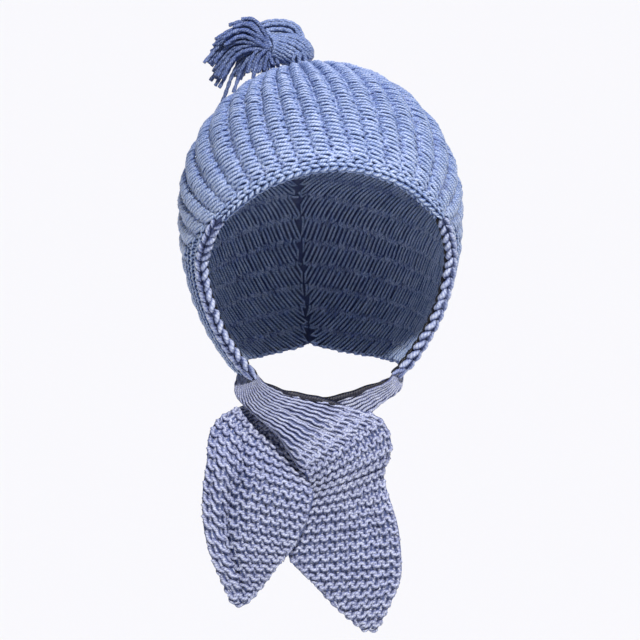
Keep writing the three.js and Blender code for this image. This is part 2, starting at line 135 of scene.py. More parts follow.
floor_paint = bpy.data.materials.new("matt_white_studio_floor")
floor_paint.use_nodes = True
floor_shader = floor_paint.node_tree.nodes["Principled BSDF"]
floor_shader.inputs["Base Color"].default_value = linear("#f4f1e2")
floor_shader.inputs["Roughness"].default_value = 0.9
floor_mesh.materials.append(floor_paint)

world = bpy.data.worlds.new("pale_surround")
world.use_nodes = True
faint = world.node_tree.nodes["Background"]
faint.inputs["Color"].default_value = linear("#fff8ee")
faint.inputs["Strength"].default_value = 0.05
pale = add_node(world.node_tree, "ShaderNodeBackground", linear("#f4f5f8"), 1.0)
seen = add_node(world.node_tree, "ShaderNodeLightPath").outputs["Is Camera Ray"]
surround = add_node(world.node_tree, "ShaderNodeMixShader", seen, faint, pale)
world.node_tree.links.new(surround.outputs[0], world.node_tree.nodes["World Output"].inputs[0])
bpy.context.scene.world = world

# Each lamp is a far soft one, so the floor is lit as evenly as the bonnet. `towards` points to it.
LAMPS = [dict(zip(("name", "towards", "softness", "power", "colour"), row)) for row in (
    ("key", (0.13, -0.72, 0.8), 6, 3.7, "#fffaf2"),
    ("sky", (0.1, -0.15, 1.0), 35, 1.3, "#5f93ff"),
    ("rear", (0.15, 0.85, 0.6), 20, 0.6, "#fffaf2"))]
for row in LAMPS:
    lamp = bpy.data.lights.new(row["name"], "SUN")
    lamp.angle = math.radians(row["softness"])
    lamp.energy = row["power"]
    lamp.color = linear(row["colour"])[:3]
    holder = add_object(row["name"], lamp)
    x, y, z = row["towards"]
    holder.rotation_euler = (math.atan2(math.hypot(x, y), z), 0, math.atan2(y, x) + math.pi / 2)
print("lamps:", [row["name"] for row in LAMPS])

# %% [markdown]
# ## The head form
# The hood is drawn over an egg made of half-ellipsoids. A place on it is a direction, given as
# shares of the half axes. These functions repeat the CAD model's, so that the yarn lies on its
# walls.

# %% The head form
HALF_WIDTH = 79.0
FRONT_DEPTH, BACK_DEPTH = 84.0, 90.0
CROWN_HEIGHT, CHIN_DROP = 82.5, 113.0
WALL = 5.0
CENTRE_Z = WALL - CROWN_HEIGHT


def unit(vectors):
    return vectors / np.linalg.norm(vectors, axis=-1, keepdims=True)


def half_axes(direction):
    depth = np.where(direction[..., 1] < 0, FRONT_DEPTH, BACK_DEPTH)
    height = np.where(direction[..., 2] > 0, CROWN_HEIGHT, CHIN_DROP)
    return np.stack([np.full(depth.shape, HALF_WIDTH), depth, height], axis=-1)


def on_form(shares, inset=0.0):
    direction = unit(shares)
    return direction * (half_axes(direction) - inset) + np.array([0, 0, CENTRE_Z])


def to_shares(points):
    offset = points - np.array([0, 0, CENTRE_Z])
    return unit(offset / half_axes(offset))


def form_normal(shares):
    return unit(shares / half_axes(shares))


def along_form(direction, share):
    return unit(direction - share * np.sum(direction * share, axis=-1, keepdims=True))


def smooth(low, high, value):
    share = np.clip((value - low) / (high - low), 0, 1)
    return share * share * (3 - 2 * share)


def through(points, places):
    """Points on a smooth curve through the given points; place 0 is the first, 1 the second."""
    points = np.asarray(points, float)
    padded = np.vstack([2 * points[0] - points[1], points, 2 * points[-1] - points[-2]])
    first = np.clip(np.floor(places).astype(int), 0, len(points) - 2)
    rest = (places - first)[..., None]
    p0, p1, p2, p3 = (padded[first + i] for i in range(4))
    d0, d1, d2 = (np.sqrt(np.linalg.norm(b - a, axis=-1, keepdims=True))
                  for a, b in ((p0, p1), (p1, p2), (p2, p3)))
    leave = ((p1 - p0) / d0 - (p2 - p0) / (d0 + d1) + (p2 - p1) / d1) * d1
    arrive = ((p2 - p1) / d1 - (p3 - p1) / (d1 + d2) + (p3 - p2) / d2) * d1
    square = -3 * p1 + 3 * p2 - 2 * leave - arrive
    cube = 2 * p1 - 2 * p2 + leave + arrive
    return p1 + leave * rest + square * rest ** 2 + cube * rest ** 3


print("crown of the form at", on_form(np.array([0, 0, 1.0])), "mm")

# %% [markdown]
# ## The run of the ribs
# The ribs leave the face edge backwards, stay level with their neighbours and bend to the gather
# on the crown or to the seam down the back. `across` runs from -1 at the viewer's left jaw over
# the brow to 1 at the right jaw, and `t` from 0 at the face edge to 1 at the back.

# %% The ribs' paths
RIB_COUNT = 38
GATHERED_RIBS = 8
# The face edge seen from the side, from the brow to the jaw, in shares of the half axes.
FACE_EDGE = [dict(zip(("forward", "up"), row)) for row in (
    (0.888, 0.46), (0.800, 0.33), (0.677, 0.152), (0.550, 0.0), (0.451, -0.106), (0.361, -0.208),
    (0.317, -0.314), (0.300, -0.415), (0.288, -0.513), (0.287, -0.611), (0.280, -0.712),
    (0.270, -0.800))]
GATHER = unit(np.array([-0.06, 0.587, 0.807]))
NAPE = unit(np.array([0, 0.66, -0.75]))
BROW_LEAN, BROW_BACK, BROW_UP = -0.15, 0.945, 0.3
SIDE_SPREAD = 0.45
FAN_ABOVE, LEVEL_BELOW = 0.3, 0.35
BROW_REACH, JAW_REACH = 0.72, 0.55
CURVE_STEPS = 2400


def face_edge_points(side, rows):
    width = [math.sqrt(1 - row["forward"] ** 2 - row["up"] ** 2) for row in rows]
    shares = [(side * x, -row["forward"], row["up"]) for x, row in zip(width, rows)]
    return on_form(np.array(shares))


brow = on_form(np.array([[0, -FACE_EDGE[0]["forward"], FACE_EDGE[0]["up"]]]))
lower_rows = FACE_EDGE[1:]
edge_points = np.vstack([
    face_edge_points(-1, lower_rows)[::-1], brow, face_edge_points(1, lower_rows)])
edge_line = through(edge_points, np.linspace(0, len(edge_points) - 1, CURVE_STEPS + 1))
edge_steps = np.linalg.norm(np.diff(edge_line, axis=0), axis=1)
edge_length = np.concatenate([[0], np.cumsum(edge_steps)])


def face_curve(across):
    """Points on the face edge, by equal steps of its length."""
    reach = (across + 1) / 2 * edge_length[-1]
    return np.stack([np.interp(reach, edge_length, edge_line[:, i]) for i in range(3)], axis=-1)


def angle_between(a, b):
    return np.arccos(np.clip(np.sum(a * b, axis=-1, keepdims=True), -1, 1))


def rib_share(across, t):
    """The place on the form, in shares, for arrays of across and t."""
    across, t = np.broadcast_arrays(np.asarray(across, float), np.asarray(t, float))
    start = to_shares(face_curve(across))
    gathered = GATHERED_RIBS / RIB_COUNT
    down = np.clip((np.abs(across) - gathered) / (1 - gathered), 0, 1)[..., None]
    turn = angle_between(GATHER, NAPE) * down
    end = GATHER * np.cos(turn) + along_form(NAPE, GATHER) * np.sin(turn)
    x, y, z = start[..., 0], start[..., 1], start[..., 2]
    lower = 1 - np.clip((z + LEVEL_BELOW) / (LEVEL_BELOW + FAN_ABOVE), 0, 1)[..., None]
    lean = BROW_LEAN * (1 - smooth(0, 1, x)) - SIDE_SPREAD * x
    heading = np.stack([lean, np.full(x.shape, BROW_BACK), np.full(x.shape, BROW_UP)], axis=-1)
    level = np.stack([np.sign(x) * np.abs(y), np.abs(x), np.zeros(x.shape)], axis=-1)
    heading = along_form(heading, start) * (1 - lower) + along_form(level, start) * lower
    heading = unit(heading)
    reach = angle_between(start, end) * (BROW_REACH + (JAW_REACH - BROW_REACH) * lower)
    middle = start * np.cos(reach) + heading * np.sin(reach)
    t = t[..., None]
    return unit(start * (1 - t) ** 2 + middle * 2 * t * (1 - t) + end * t ** 2)


print("face edge:", round(edge_length[-1]), "mm round")

# %% [markdown]
# ## Meshes from grids
# A cloth is a grid of points. It becomes either an open sheet that carries the yarn, with a UV
# map counted in stitches and rows, or a closed thin body that stands behind the yarn and keeps
# light out, as the inner half of the stitches does.

# %% Grid meshes
# Points nearer than this are one point, and edges shorter than this are none, in millimetres.
SAME_POINT, NO_EDGE = 0.02, 0.001


def grid_faces(rows, columns, first=0):
    """Quads of a grid whose points run row by row."""
    corner = np.arange(rows * columns).reshape(rows, columns) + first
    quads = [corner[:-1, :-1], corner[1:, :-1], corner[1:, 1:], corner[:-1, 1:]]
    return np.stack(quads, axis=-1).reshape(-1, 4)


def make_mesh(name, points, faces=(), links=()):
    mesh = bpy.data.meshes.new(name)
    faces = [list(face) for face in faces]
    mesh.from_pydata((np.asarray(points) * MM).tolist(), links, faces)
    mesh.validate()
    return mesh


def keep(mesh, label, values):
    """Stores a number or a direction for each point, for the trees and wools to read."""
    number = np.ndim(values) == 1
    kept = mesh.attributes.new(label, "FLOAT" if number else "FLOAT_VECTOR", "POINT")
    values = np.ascontiguousarray(values, dtype=float).ravel()
    kept.data.foreach_set("value" if number else "vector", values)


def make_carrier(name, points, out, stitches, rows, relief=1.0, fullness=1.0):
    """An open sheet that knows its outward direction, how high its relief is and how full its yarn.

    The UV map counts stitches and rows from 0 to 1 of the most that there are.
    """
    height, width = points.shape[:2]
    mesh = make_mesh(name, points.reshape(-1, 3), grid_faces(height, width))
    layer = mesh.uv_layers.new(name="UVMap")
    corner = np.empty(len(mesh.loops), int)
    mesh.loops.foreach_get("vertex_index", corner)
    places = np.stack([stitches, rows], axis=-1).reshape(-1, 2)[corner]
    layer.data.foreach_set("uv", places.ravel())
    keep(mesh, "out", out)
    measures = [np.broadcast_to(value, (height, width)) for value in (relief, fullness, 0.0)]
    keep(mesh, "shape", np.stack(measures, axis=-1))
    return add_object(name, mesh)


def close_mesh(mesh):
    """Merges the doubled points of a closed mesh and turns its faces outwards."""
    made = bmesh.new()
    made.from_mesh(mesh)
    bmesh.ops.remove_doubles(made, verts=made.verts, dist=SAME_POINT * MM)
    bmesh.ops.dissolve_degenerate(made, edges=made.edges, dist=NO_EDGE * MM)
    bmesh.ops.recalc_face_normals(made, faces=made.faces)
    for face in made.faces:
        face.smooth = True
    made.to_mesh(mesh)
    made.free()


def make_shell(name, front, behind, material):
    """A closed body between two grids of the same size."""
    height, width = front.shape[:2]
    count = height * width
    points = np.vstack([front.reshape(-1, 3), behind.reshape(-1, 3)])
    corner = np.arange(count).reshape(height, width)
    rim = np.concatenate([corner[0, :-1], corner[:-1, -1], corner[-1, :0:-1], corner[:0:-1, 0]])
    after = np.roll(rim, -1)
    faces = [
        *grid_faces(height, width),
        *grid_faces(height, width, count)[:, ::-1],
        *np.stack([rim, after, after + count, rim + count], axis=-1),
    ]
    mesh = make_mesh(name, points, faces)
    close_mesh(mesh)
    mesh.materials.append(material)
    return add_object(name, mesh)


print("a grid of 4 by 3 points has", len(grid_faces(4, 3)), "faces")

# %% [markdown]
# ## Yarn on a carrier
# Rows and braids are first drawn as flat curves, counted in stitches and rows. Each place is
# looked up on the carrier, so the curves can move there and rise along the outward direction.
# Then they get the body of a yarn, which keeps what its finish needs: the length along it, the
# place round it, and the way out of the cloth.

# %% What the trees share
TAU = 2 * math.pi
SEED = 7.0
WANDERS_A_STITCH = 1.4
MATH, VECTOR, NAMED = "ShaderNodeMath", "ShaderNodeVectorMath", "GeometryNodeInputNamedAttribute"


def new_tree(name, sockets):
    """An empty geometry tree with named inputs, a function to add its nodes, and its inputs."""
    tree = bpy.data.node_groups.new(name, "GeometryNodeTree")
    tree.is_modifier = True
    tree.interface.new_socket("Geometry", in_out="INPUT", socket_type="NodeSocketGeometry")
    tree.interface.new_socket("Geometry", in_out="OUTPUT", socket_type="NodeSocketGeometry")
    for label, value in sockets.items():
        kind = "NodeSocketInt" if isinstance(value, int) else "NodeSocketFloat"
        socket = tree.interface.new_socket(label, in_out="INPUT", socket_type=kind)
        socket.default_value = value
    tree.interface.new_socket("Material", in_out="INPUT", socket_type="NodeSocketMaterial")
    node = partial(add_node, tree)
    return tree, node, node("NodeGroupInput").outputs


def read_carrier(tree, given, target, rows):
    """What the carrier has at a stitch and a row: the point, the way out, and the yarn's shape."""
    node = partial(add_node, tree)
    whole = node("ShaderNodeCombineXYZ", given["Stitches"], rows, 1.0)
    place = node(VECTOR, target, whole, operation="DIVIDE")
    sources = {
        "spot": node("GeometryNodeInputPosition"),
        "out": node(NAMED, "out", data_type="FLOAT_VECTOR"),
        "shape": node(NAMED, "shape", data_type="FLOAT_VECTOR"),
    }
    uv_map = node(NAMED, "UVMap", data_type="FLOAT_VECTOR")
    return {label: node("GeometryNodeSampleUVSurface", inputs={
        "Mesh": given["Geometry"], "Value": source, "UV Map": uv_map, "Sample UV": place,
    }, data_type="FLOAT_VECTOR") for label, source in sources.items()}


def lay_on(tree, curves, read, rise, fullness):
    """Moves curves to the carrier, raised by `rise`, and drops what lies beyond its rim."""
    node = partial(add_node, tree)
    offset = node(VECTOR, read["out"], inputs={"Scale": rise}, operation="SCALE")
    spot = node(VECTOR, read["spot"], offset, operation="ADD")
    missing = node("FunctionNodeBooleanMath", read["spot"].outputs["Is Valid"], operation="NOT")
    kept = node("GeometryNodeCaptureAttribute", curves)
    sources = {"spot": spot.outputs[0], "out": read["out"].outputs[0], "fullness": fullness}
    for label in sources:
        kept.capture_items.new("FLOAT" if label == "fullness" else "VECTOR", label)
    for label, source in sources.items():
        tree.links.new(source, kept.inputs[label])
    trimmed = node("GeometryNodeDeleteGeometry", kept, missing, domain="POINT")
    bent = node("GeometryNodeSetPosition", inputs={
        "Geometry": trimmed, "Position": kept.outputs["spot"]})
    marked = node("GeometryNodeStoreNamedAttribute", inputs={
        "Geometry": bent, "Name": "out", "Value": kept.outputs["out"],
    }, data_type="FLOAT_VECTOR", domain="POINT")
    return marked, kept.outputs["fullness"]


def yarn_from(tree, given, curves, fullness):
    """Gives curves the body of a yarn, with what its finish needs: length along, place round."""
    node = partial(add_node, tree)
    length = node("GeometryNodeSplineParameter").outputs["Length"]
    marked = node("GeometryNodeStoreNamedAttribute", inputs={
        "Geometry": curves, "Name": "along", "Value": length}, data_type="FLOAT", domain="POINT")
    ring = node("GeometryNodeCurvePrimitiveCircle", inputs={
        "Resolution": given["Sides"], "Radius": given["Yarn radius"]})
    around = node(VECTOR, node("GeometryNodeInputPosition"), operation="NORMALIZE")
    ring = node("GeometryNodeStoreNamedAttribute", inputs={
        "Geometry": ring, "Name": "around", "Value": around,
    }, data_type="FLOAT_VECTOR", domain="POINT")
    body = node("GeometryNodeCurveToMesh", inputs={
        "Curve": marked, "Profile Curve": ring, "Scale": fullness, "Fill Caps": True})
    real = node("GeometryNodeRealizeInstances", node("GeometryNodeSetShadeSmooth", body))
    node("NodeGroupOutput", node("GeometryNodeSetMaterial", inputs={
        "Geometry": real, "Material": given["Material"]}))


def uneven(tree, x, y, amount):
    """A seeded sideways wander that keeps the hand in hand knitting."""
    node = partial(add_node, tree)
    where = node("ShaderNodeCombineXYZ", x, y, SEED)
    noise = node("ShaderNodeTexNoise", inputs={
        "Vector": where, "Scale": WANDERS_A_STITCH, "Detail": 2.0})
    centred = node(VECTOR, noise.outputs["Color"], (0.5, 0.5, 0.5), operation="SUBTRACT")
    return node(VECTOR, centred, inputs={"Scale": amount}, operation="SCALE")


def grow(tree, carrier, *wanted):
    """Runs a tree for each wanted name, wool and sizes, keeps plain meshes, drops the carrier."""
    identifiers = {
        item.name: item.identifier for item in tree.interface.items_tree if item.in_out == "INPUT"}
    made = []
    for name, material, sizes in wanted:
        modifier = carrier.modifiers.new(tree.name, "NODES")
        modifier.node_group = tree
        for label, value in (sizes | {"Material": material}).items():
            modifier[identifiers[label]] = value
        graph = bpy.context.evaluated_depsgraph_get()
        mesh = bpy.data.meshes.new_from_object(carrier.evaluated_get(graph))
        carrier.modifiers.remove(modifier)
        mesh.name = name
        print(name + ":", sum(len(face.vertices) - 2 for face in mesh.polygons), "triangles")
        made.append(add_object(name, mesh))
    bpy.data.objects.remove(carrier)
    return made


print("seed of the yarn's wander:", SEED)

# %% [markdown]
# ## Rows of loops
# Hand knitting is rows of one yarn that swings to and fro: a loop up, a loop down. Each row is
# drawn straight once, copied for every row, and then bent onto its carrier: the loops swing in
# the UV map of stitches and rows, and rise and sink along the carrier's outward direction. The
# same tree makes plain rows, ribs and garter ridges, because only the sizes differ.

# %% A tree that knits rows


def knitting_tree():
    tree, node, given = new_tree("rows of loops", {
        "Rows": 10, "First row": 0.5, "Row step": 1.0, "Rows across": 10.0, "Stitches": 10,
        "Points": 12, "Sides": 6, "Yarn radius": 0.00095, "Reach": 0.4, "Bulge": 0.1, "Slant": 0.0,
        "Edge bulge": 0.0, "Edge stitches": 3.0, "Lift": 0.0, "Sink": 0.0, "Dip": 0.0, "Lean": 0.0,
        "Unevenness": 0.06, "Roughness": 0.0,
    })
    end = node("ShaderNodeCombineXYZ", given["Stitches"])
    line = node("GeometryNodeCurvePrimitiveLine", inputs={"End": end})
    count = node(MATH, given["Stitches"], given["Points"], 1.0, operation="MULTIPLY_ADD")
    line = node("GeometryNodeResampleCurve", inputs={"Curve": line, "Count": count})
    copies = node("GeometryNodeDuplicateElements", inputs={
        "Geometry": line, "Amount": given["Rows"]}, domain="SPLINE")
    row = node(MATH, copies.outputs["Duplicate Index"], given["Row step"], given["First row"],
               operation="MULTIPLY_ADD")
    stitch = node("ShaderNodeSeparateXYZ", node("GeometryNodeInputPosition"))

    # The swing to and fro, and the sideways bulge that turns a wave into loops.
    swing = node(MATH, node(MATH, stitch, TAU, operation="MULTIPLY"), operation="COSINE")
    loop = node(MATH, node(MATH, stitch, 2 * TAU, operation="MULTIPLY"), operation="SINE")
    inside = node(MATH, stitch, given["Edge stitches"], operation="DIVIDE")
    near_edge = node(MATH, 1.0, inside, operation="SUBTRACT", use_clamp=True)
    bulge = node(MATH, near_edge, given["Edge bulge"], given["Bulge"], operation="MULTIPLY_ADD")
    over = node(MATH, loop, bulge, stitch, operation="MULTIPLY_ADD")
    over = node(MATH, swing, given["Slant"], over, operation="MULTIPLY_ADD")
    down = node(MATH, row, node(MATH, swing, given["Reach"], operation="MULTIPLY"),
                operation="SUBTRACT")
    wander = uneven(tree, stitch, row, 1.0)
    aside = node(VECTOR, wander, inputs={"Scale": given["Unevenness"]}, operation="SCALE")
    target = node(VECTOR, node("ShaderNodeCombineXYZ", over, down), aside, operation="ADD")
    read = read_carrier(tree, given, target, given["Rows across"])

    # The height: legs and loops at their own levels, scaled by the carrier's relief.
    relief, fullness = node("ShaderNodeSeparateXYZ", read["shape"]).outputs[:2]
    square = node(MATH, swing, swing, operation="MULTIPLY")
    rise = node(MATH, square, given["Dip"], given["Sink"], operation="MULTIPLY_ADD")
    rise = node(MATH, swing, given["Lean"], rise, operation="MULTIPLY_ADD")
    rise = node(MATH, rise, relief, given["Lift"], operation="MULTIPLY_ADD")
    rough = node("ShaderNodeSeparateXYZ", wander).outputs["Z"]
    rise = node(MATH, rough, given["Roughness"], rise, operation="MULTIPLY_ADD")
    bent, fullness = lay_on(tree, copies, read, rise, fullness)
    yarn_from(tree, given, bent, fullness)
    return tree


knit_rows = knitting_tree()
print(knit_rows.name, "has", len(knit_rows.nodes), "nodes")

# %% [markdown]
# ## Plied wool
# The yarn is a soft baby wool with a slight shine: thin plies twisted round each other. The ply
# follows the length along each yarn and the angle round it, and its grooves get painted shade.
# Flecks of lighter and darker fibre, and short fibres that blur the light, keep the loops from
# looking like plastic tubes. Painted light makes the outer side of each loop lighter, and painted
# shade makes its flanks darker.

# %% The wool
# In millimetres. A wool fibre is 0.02 mm thick, too fine to show, so it is drawn as 0.25 mm. A
# fleck is a tuft of fibres, and a patch covers a few stitches, where the dye took unevenly.
FIBRE, FLECK, PATCH = 0.25, 1.1, 7.0
BUMP_DEPTH, FIBRE_HEIGHT, FLECK_HEIGHT = 0.5, 0.35, 0.5
# The ramp's place sums painted light on each loop's outer side, random flecks and dye patches, and
# painted shade in the ply grooves.
PAINTED_FACING_SHADE, FLECK_SHADE, PATCH_SHADE, PAINTED_GROOVE_SHADE = 0.45, 0.4, 0.25, 0.15
DARK_AT, COLOUR_AT, LIGHT_AT = 0.4, 0.74, 0.97
MEAN_FACING = 0.7


def wool(name, dark, colour, light, plies=3, lay=4.5, groove=0.35, knitted=True):
    """Hand-knitting wool: plies that turn once round each other in `lay` mm, with painted shade between
    them.
    """
    material = bpy.data.materials.new(name)
    material.use_nodes = True
    tree = material.node_tree
    node = partial(add_node, tree)
    shader = tree.nodes["Principled BSDF"]
    shader.inputs["Roughness"].default_value = 0.36
    shader.inputs["Specular IOR Level"].default_value = 0.4
    shader.inputs["Sheen Weight"].default_value = 0.03
    shader.inputs["Sheen Roughness"].default_value = 0.4
    along = node("ShaderNodeAttribute", attribute_name="along").outputs["Fac"]
    around = node("ShaderNodeAttribute", attribute_name="around").outputs["Vector"]
    x, y, _ = node("ShaderNodeSeparateXYZ", around).outputs
    angle = node(MATH, y, x, operation="ARCTAN2")
    turned = node(MATH, along, TAU * plies / 2 / (lay * MM), operation="MULTIPLY")
    phase = node(MATH, angle, plies / 2, turned, operation="MULTIPLY_ADD")
    ply = node(MATH, node(MATH, phase, operation="SINE"), operation="ABSOLUTE")
    place = node("ShaderNodeTexCoord").outputs["Object"]
    fibre, fleck, patch = (
        node("ShaderNodeTexNoise", inputs={"Vector": place, "Scale": 1 / (size * MM), "Detail": 2.0})
        for size in (FIBRE, FLECK, PATCH))
    height = node(MATH, fibre, FIBRE_HEIGHT, operation="MULTIPLY")
    height = node(MATH, ply, groove, height, operation="MULTIPLY_ADD")
    height = node(MATH, fleck, FLECK_HEIGHT, height, operation="MULTIPLY_ADD")
    bump = node("ShaderNodeBump", inputs={
        "Height": height, "Strength": 0.8, "Distance": BUMP_DEPTH * MM})
    tree.links.new(bump.outputs[0], shader.inputs["Normal"])
    # Painted light and shade: the outer side of each loop, front and back, is painted lighter and
    # its flanks darker, where light hardly reaches. Yarn that is not `knitted` gets one middle value.
    painted_facing_light = MEAN_FACING
    if knitted:
        normal = node("ShaderNodeNewGeometry").outputs["Normal"]
        out = node("ShaderNodeAttribute", attribute_name="out").outputs["Vector"]
        painted_facing_light = node(VECTOR, normal, out, operation="DOT_PRODUCT").outputs["Value"]
        painted_facing_light = node(MATH, painted_facing_light, operation="ABSOLUTE")
    shade = node(MATH, painted_facing_light, PAINTED_FACING_SHADE, operation="MULTIPLY")
    for part, weight in ((fleck, FLECK_SHADE), (patch, PATCH_SHADE), (ply, PAINTED_GROOVE_SHADE)):
        shade = node(MATH, part, weight, shade, operation="MULTIPLY_ADD")
    ramp = node("ShaderNodeValToRGB", shade)
    ramp.color_ramp.elements.new(COLOUR_AT)
    for element, at, value in zip(
            ramp.color_ramp.elements, (DARK_AT, COLOUR_AT, LIGHT_AT), (dark, colour, light)):
        element.position = at
        element.color = linear(value)
    tree.links.new(ramp.outputs["Color"], shader.inputs["Base Color"])
    return material


# The ribs' yarn: painted light makes it pale on the outer side of each strand, and painted shade
# draws fine dark lines on the flanks where two strands touch.
hood_wool = wool("plied_baby_wool_hood", "#2d4481", "#8399c5", "#cfddf8")
# The same yarn down in the valleys, as a darker copy: painted shade for the valleys.
valley_painted_shade_wool = wool("plied_baby_wool_valleys_painted_shade", "#1c2e62", "#6073a6", "#acbbe0")
# The border's yarn is thicker. Its plies turn more slowly, so each V catches a light of its own
# from its bump and from the painted shade in its grooves.
edging_wool = wool("plied_baby_wool_edging", "#344072", "#8f9cc6", "#d8e1f8", lay=6.0)
# The scarf's yarn is greyer, with less contrast, so it shows its ridges more than single loops.
scarf_wool = wool("plied_baby_wool_scarf", "#4a517c", "#8a91b5", "#cdd4ea")
# Two thick plies with deep grooves, bumped and with painted shade in them, give the tassel's
# strands a bright line on each turn.
two_plies = {"plies": 2, "lay": 3.0, "groove": 0.6, "knitted": False}
tassel_wool = wool("plied_wool_tassel", "#3a4a74", "#8094c0", "#c4d2ec", **two_plies)
# The cut ends are a darker copy of the tassel's wool: painted shade for the shade they hang in
# among each other.
fringe_painted_shade_wool = wool("plied_wool_fringe_painted_shade", "#1f2b50", "#5a6c9c", "#9fafd4", **two_plies)
# The inner half of the stitches shows only in slits. It is painted a quiet mid blue, darker than
# the yarn, as painted shade in the slits between the loops.
inner_half_painted_shade_wool = wool("knitted_baby_wool_inner_half_painted_shade", "#2f3b68", "#5a6794", "#818eb9", knitted=False)
# Yarn that is folded in towards the face or the chin is painted near black: painted shade where
# hardly any light arrives.
painted_shade_wool = wool("plied_baby_wool_inside_painted_shade", "#0a090d", "#1b1c28", "#2c2e40")
print("wools:", [m.name for m in bpy.data.materials if "wool" in m.name])

# %% [markdown]
# ## The hood
# Each puffy rib is crossed by strands that run from valley to valley, about 2.6 mm apart. So a
# row of loops runs along each rib, with its legs high over the crest, and a second row fills
# each valley between two ribs.

# %% The hood's carrier
STITCH = 5.2
ACROSS_STEPS, DOWN_STEPS = 6 * RIB_COUNT, 64
RIB_DEPTH, STEEPEST_RIB = 2.4, 0.3
PUCKER_HEIGHT, PUCKER_FOOT, PUCKER_TOP = 6.0, 20.0, 4.0
SEAM_GROOVE, SEAM_STRETCH = 1.2, 0.93
CHEEK_TOP, CHEEK_FOOT, CHEEK_WIDTH = 0.42, 0.68, 24.0
# How flat the ribs are at the face edge, the seam and the cheeks, and where that ends.
EDGE_RELIEF, EDGE_FADE = 0.35, 0.26
SEAM_FLAT, SEAM_FADE = 0.6, 0.03
CHEEK_FLAT, CHEEK_FADE = 0.7, 0.35
# The yarn is a little thinner than it was spun where the hood is stretched, and full at the rim.
YARN_FULL, RIM_FULLER, RIM_FROM, RIM_TO = 0.87, 0.3, 0.02, 0.3


def hood_surface(across, t):
    """Outward directions and points on the outside of the hood, and how to sink below it."""
    shares = rib_share(across, t)
    away = angle_between(GATHER, shares)[..., 0] * BACK_DEPTH
    outside = smooth(PUCKER_TOP, PUCKER_FOOT, away)
    rise = PUCKER_HEIGHT * (1 - outside) - SEAM_GROOVE * smooth(SEAM_STRETCH, 1, t) * outside
    return form_normal(shares), on_form(shares, -rise[..., None]), (shares, rise)


def rib_run(points):
    """The length along each rib from its first point."""
    steps = np.linalg.norm(np.diff(points, axis=1), axis=2)
    return np.concatenate([np.zeros((len(points), 1)), np.cumsum(steps, axis=1)], axis=1)


across_line, down_line = np.linspace(-1, 1, ACROSS_STEPS + 1), np.linspace(0, 1, DOWN_STEPS + 1)
across_grid, whole_t = np.meshgrid(across_line, down_line, indexing="ij")
_, whole_hood, sunk = hood_surface(across_grid, whole_t)
cheek = smooth(CHEEK_TOP, CHEEK_FOOT, np.abs(across_line))
cheek_t = np.array([
    np.interp(CHEEK_WIDTH * share, run, down_line)
    for share, run in zip(cheek, rib_run(whole_hood))])
t_grid = cheek_t[:, None] + (1 - cheek_t[:, None]) * down_line
hood_out, hood_points, _ = hood_surface(across_grid, t_grid)

rib_lengths = rib_run(hood_points)
most_stitches = math.ceil(rib_lengths.max() / STITCH)
beside = np.linalg.norm(np.diff(hood_points, axis=0), axis=2) * ACROSS_STEPS / RIB_COUNT
rib_widths = np.vstack([beside, beside[-1:]])
relief = np.minimum(1, STEEPEST_RIB * rib_widths / RIB_DEPTH)
relief = relief * (EDGE_RELIEF + (1 - EDGE_RELIEF) * smooth(0, EDGE_FADE, t_grid))
relief = relief * (1 - SEAM_FLAT * smooth(SEAM_STRETCH - SEAM_FADE, 1, t_grid))
off_cheek = smooth(0, CHEEK_FADE, t_grid - cheek_t[:, None])
relief = relief * (1 - CHEEK_FLAT * cheek[:, None] * (1 - off_cheek))

hood_carrier = make_carrier(
    "hood_carrier", hood_points, hood_out,
    rib_lengths / STITCH / most_stitches, (across_grid + 1) / 2, relief,
    YARN_FULL + RIM_FULLER * (1 - smooth(RIM_FROM, RIM_TO, t_grid)))
print("most stitches in a rib:", most_stitches, "; widest rib:", round(rib_widths.max(), 1), "mm")

# %% [markdown]
# ## Three layers of rows
# A real stitch goes through the cloth: its legs show on the ribs, its head in a valley and its
# back inside. Here each layer is a row of loops of its own, grown from the same carrier with its
# own reach and height. That is lighter than whole stitches, and each layer can be set by itself.

# %% The hood's yarn
along_ribs = {"Rows across": float(RIB_COUNT), "Stitches": most_stitches,
              "Yarn radius": 1.06 * MM, "Unevenness": 0.34, "Roughness": 1.8 * MM}
ribs, valleys, lining = grow(
    knit_rows, hood_carrier,
    ("hood_ribs", hood_wool, along_ribs | {
        "Rows": RIB_COUNT, "First row": 0.5, "Points": 12, "Reach": 0.45, "Bulge": 0.09,
        "Edge bulge": 0.1, "Slant": 0.14, "Lift": -1.0 * MM, "Dip": -3.0 * MM}),
    ("hood_valleys", valley_painted_shade_wool, along_ribs | {
        "Rows": RIB_COUNT - 1, "First row": 1.0, "Points": 10, "Reach": 0.28, "Bulge": 0.09,
        "Lift": -1.0 * MM, "Sink": -3.2 * MM, "Dip": 2.0 * MM}),
    ("hood_lining", hood_wool, along_ribs | {
        "Rows": RIB_COUNT, "First row": 0.5, "Points": 8, "Sides": 5, "Reach": 0.56,
        "Bulge": 0.12, "Lift": -4.2 * MM, "Dip": 0.5 * MM}))

# %% [markdown]
# ## Rows along the cheeks
# Below the ears no rib crosses the side of the hood. The rows there run down beside the face, so
# they get a carrier of their own, a band that widens from nothing at the temples.

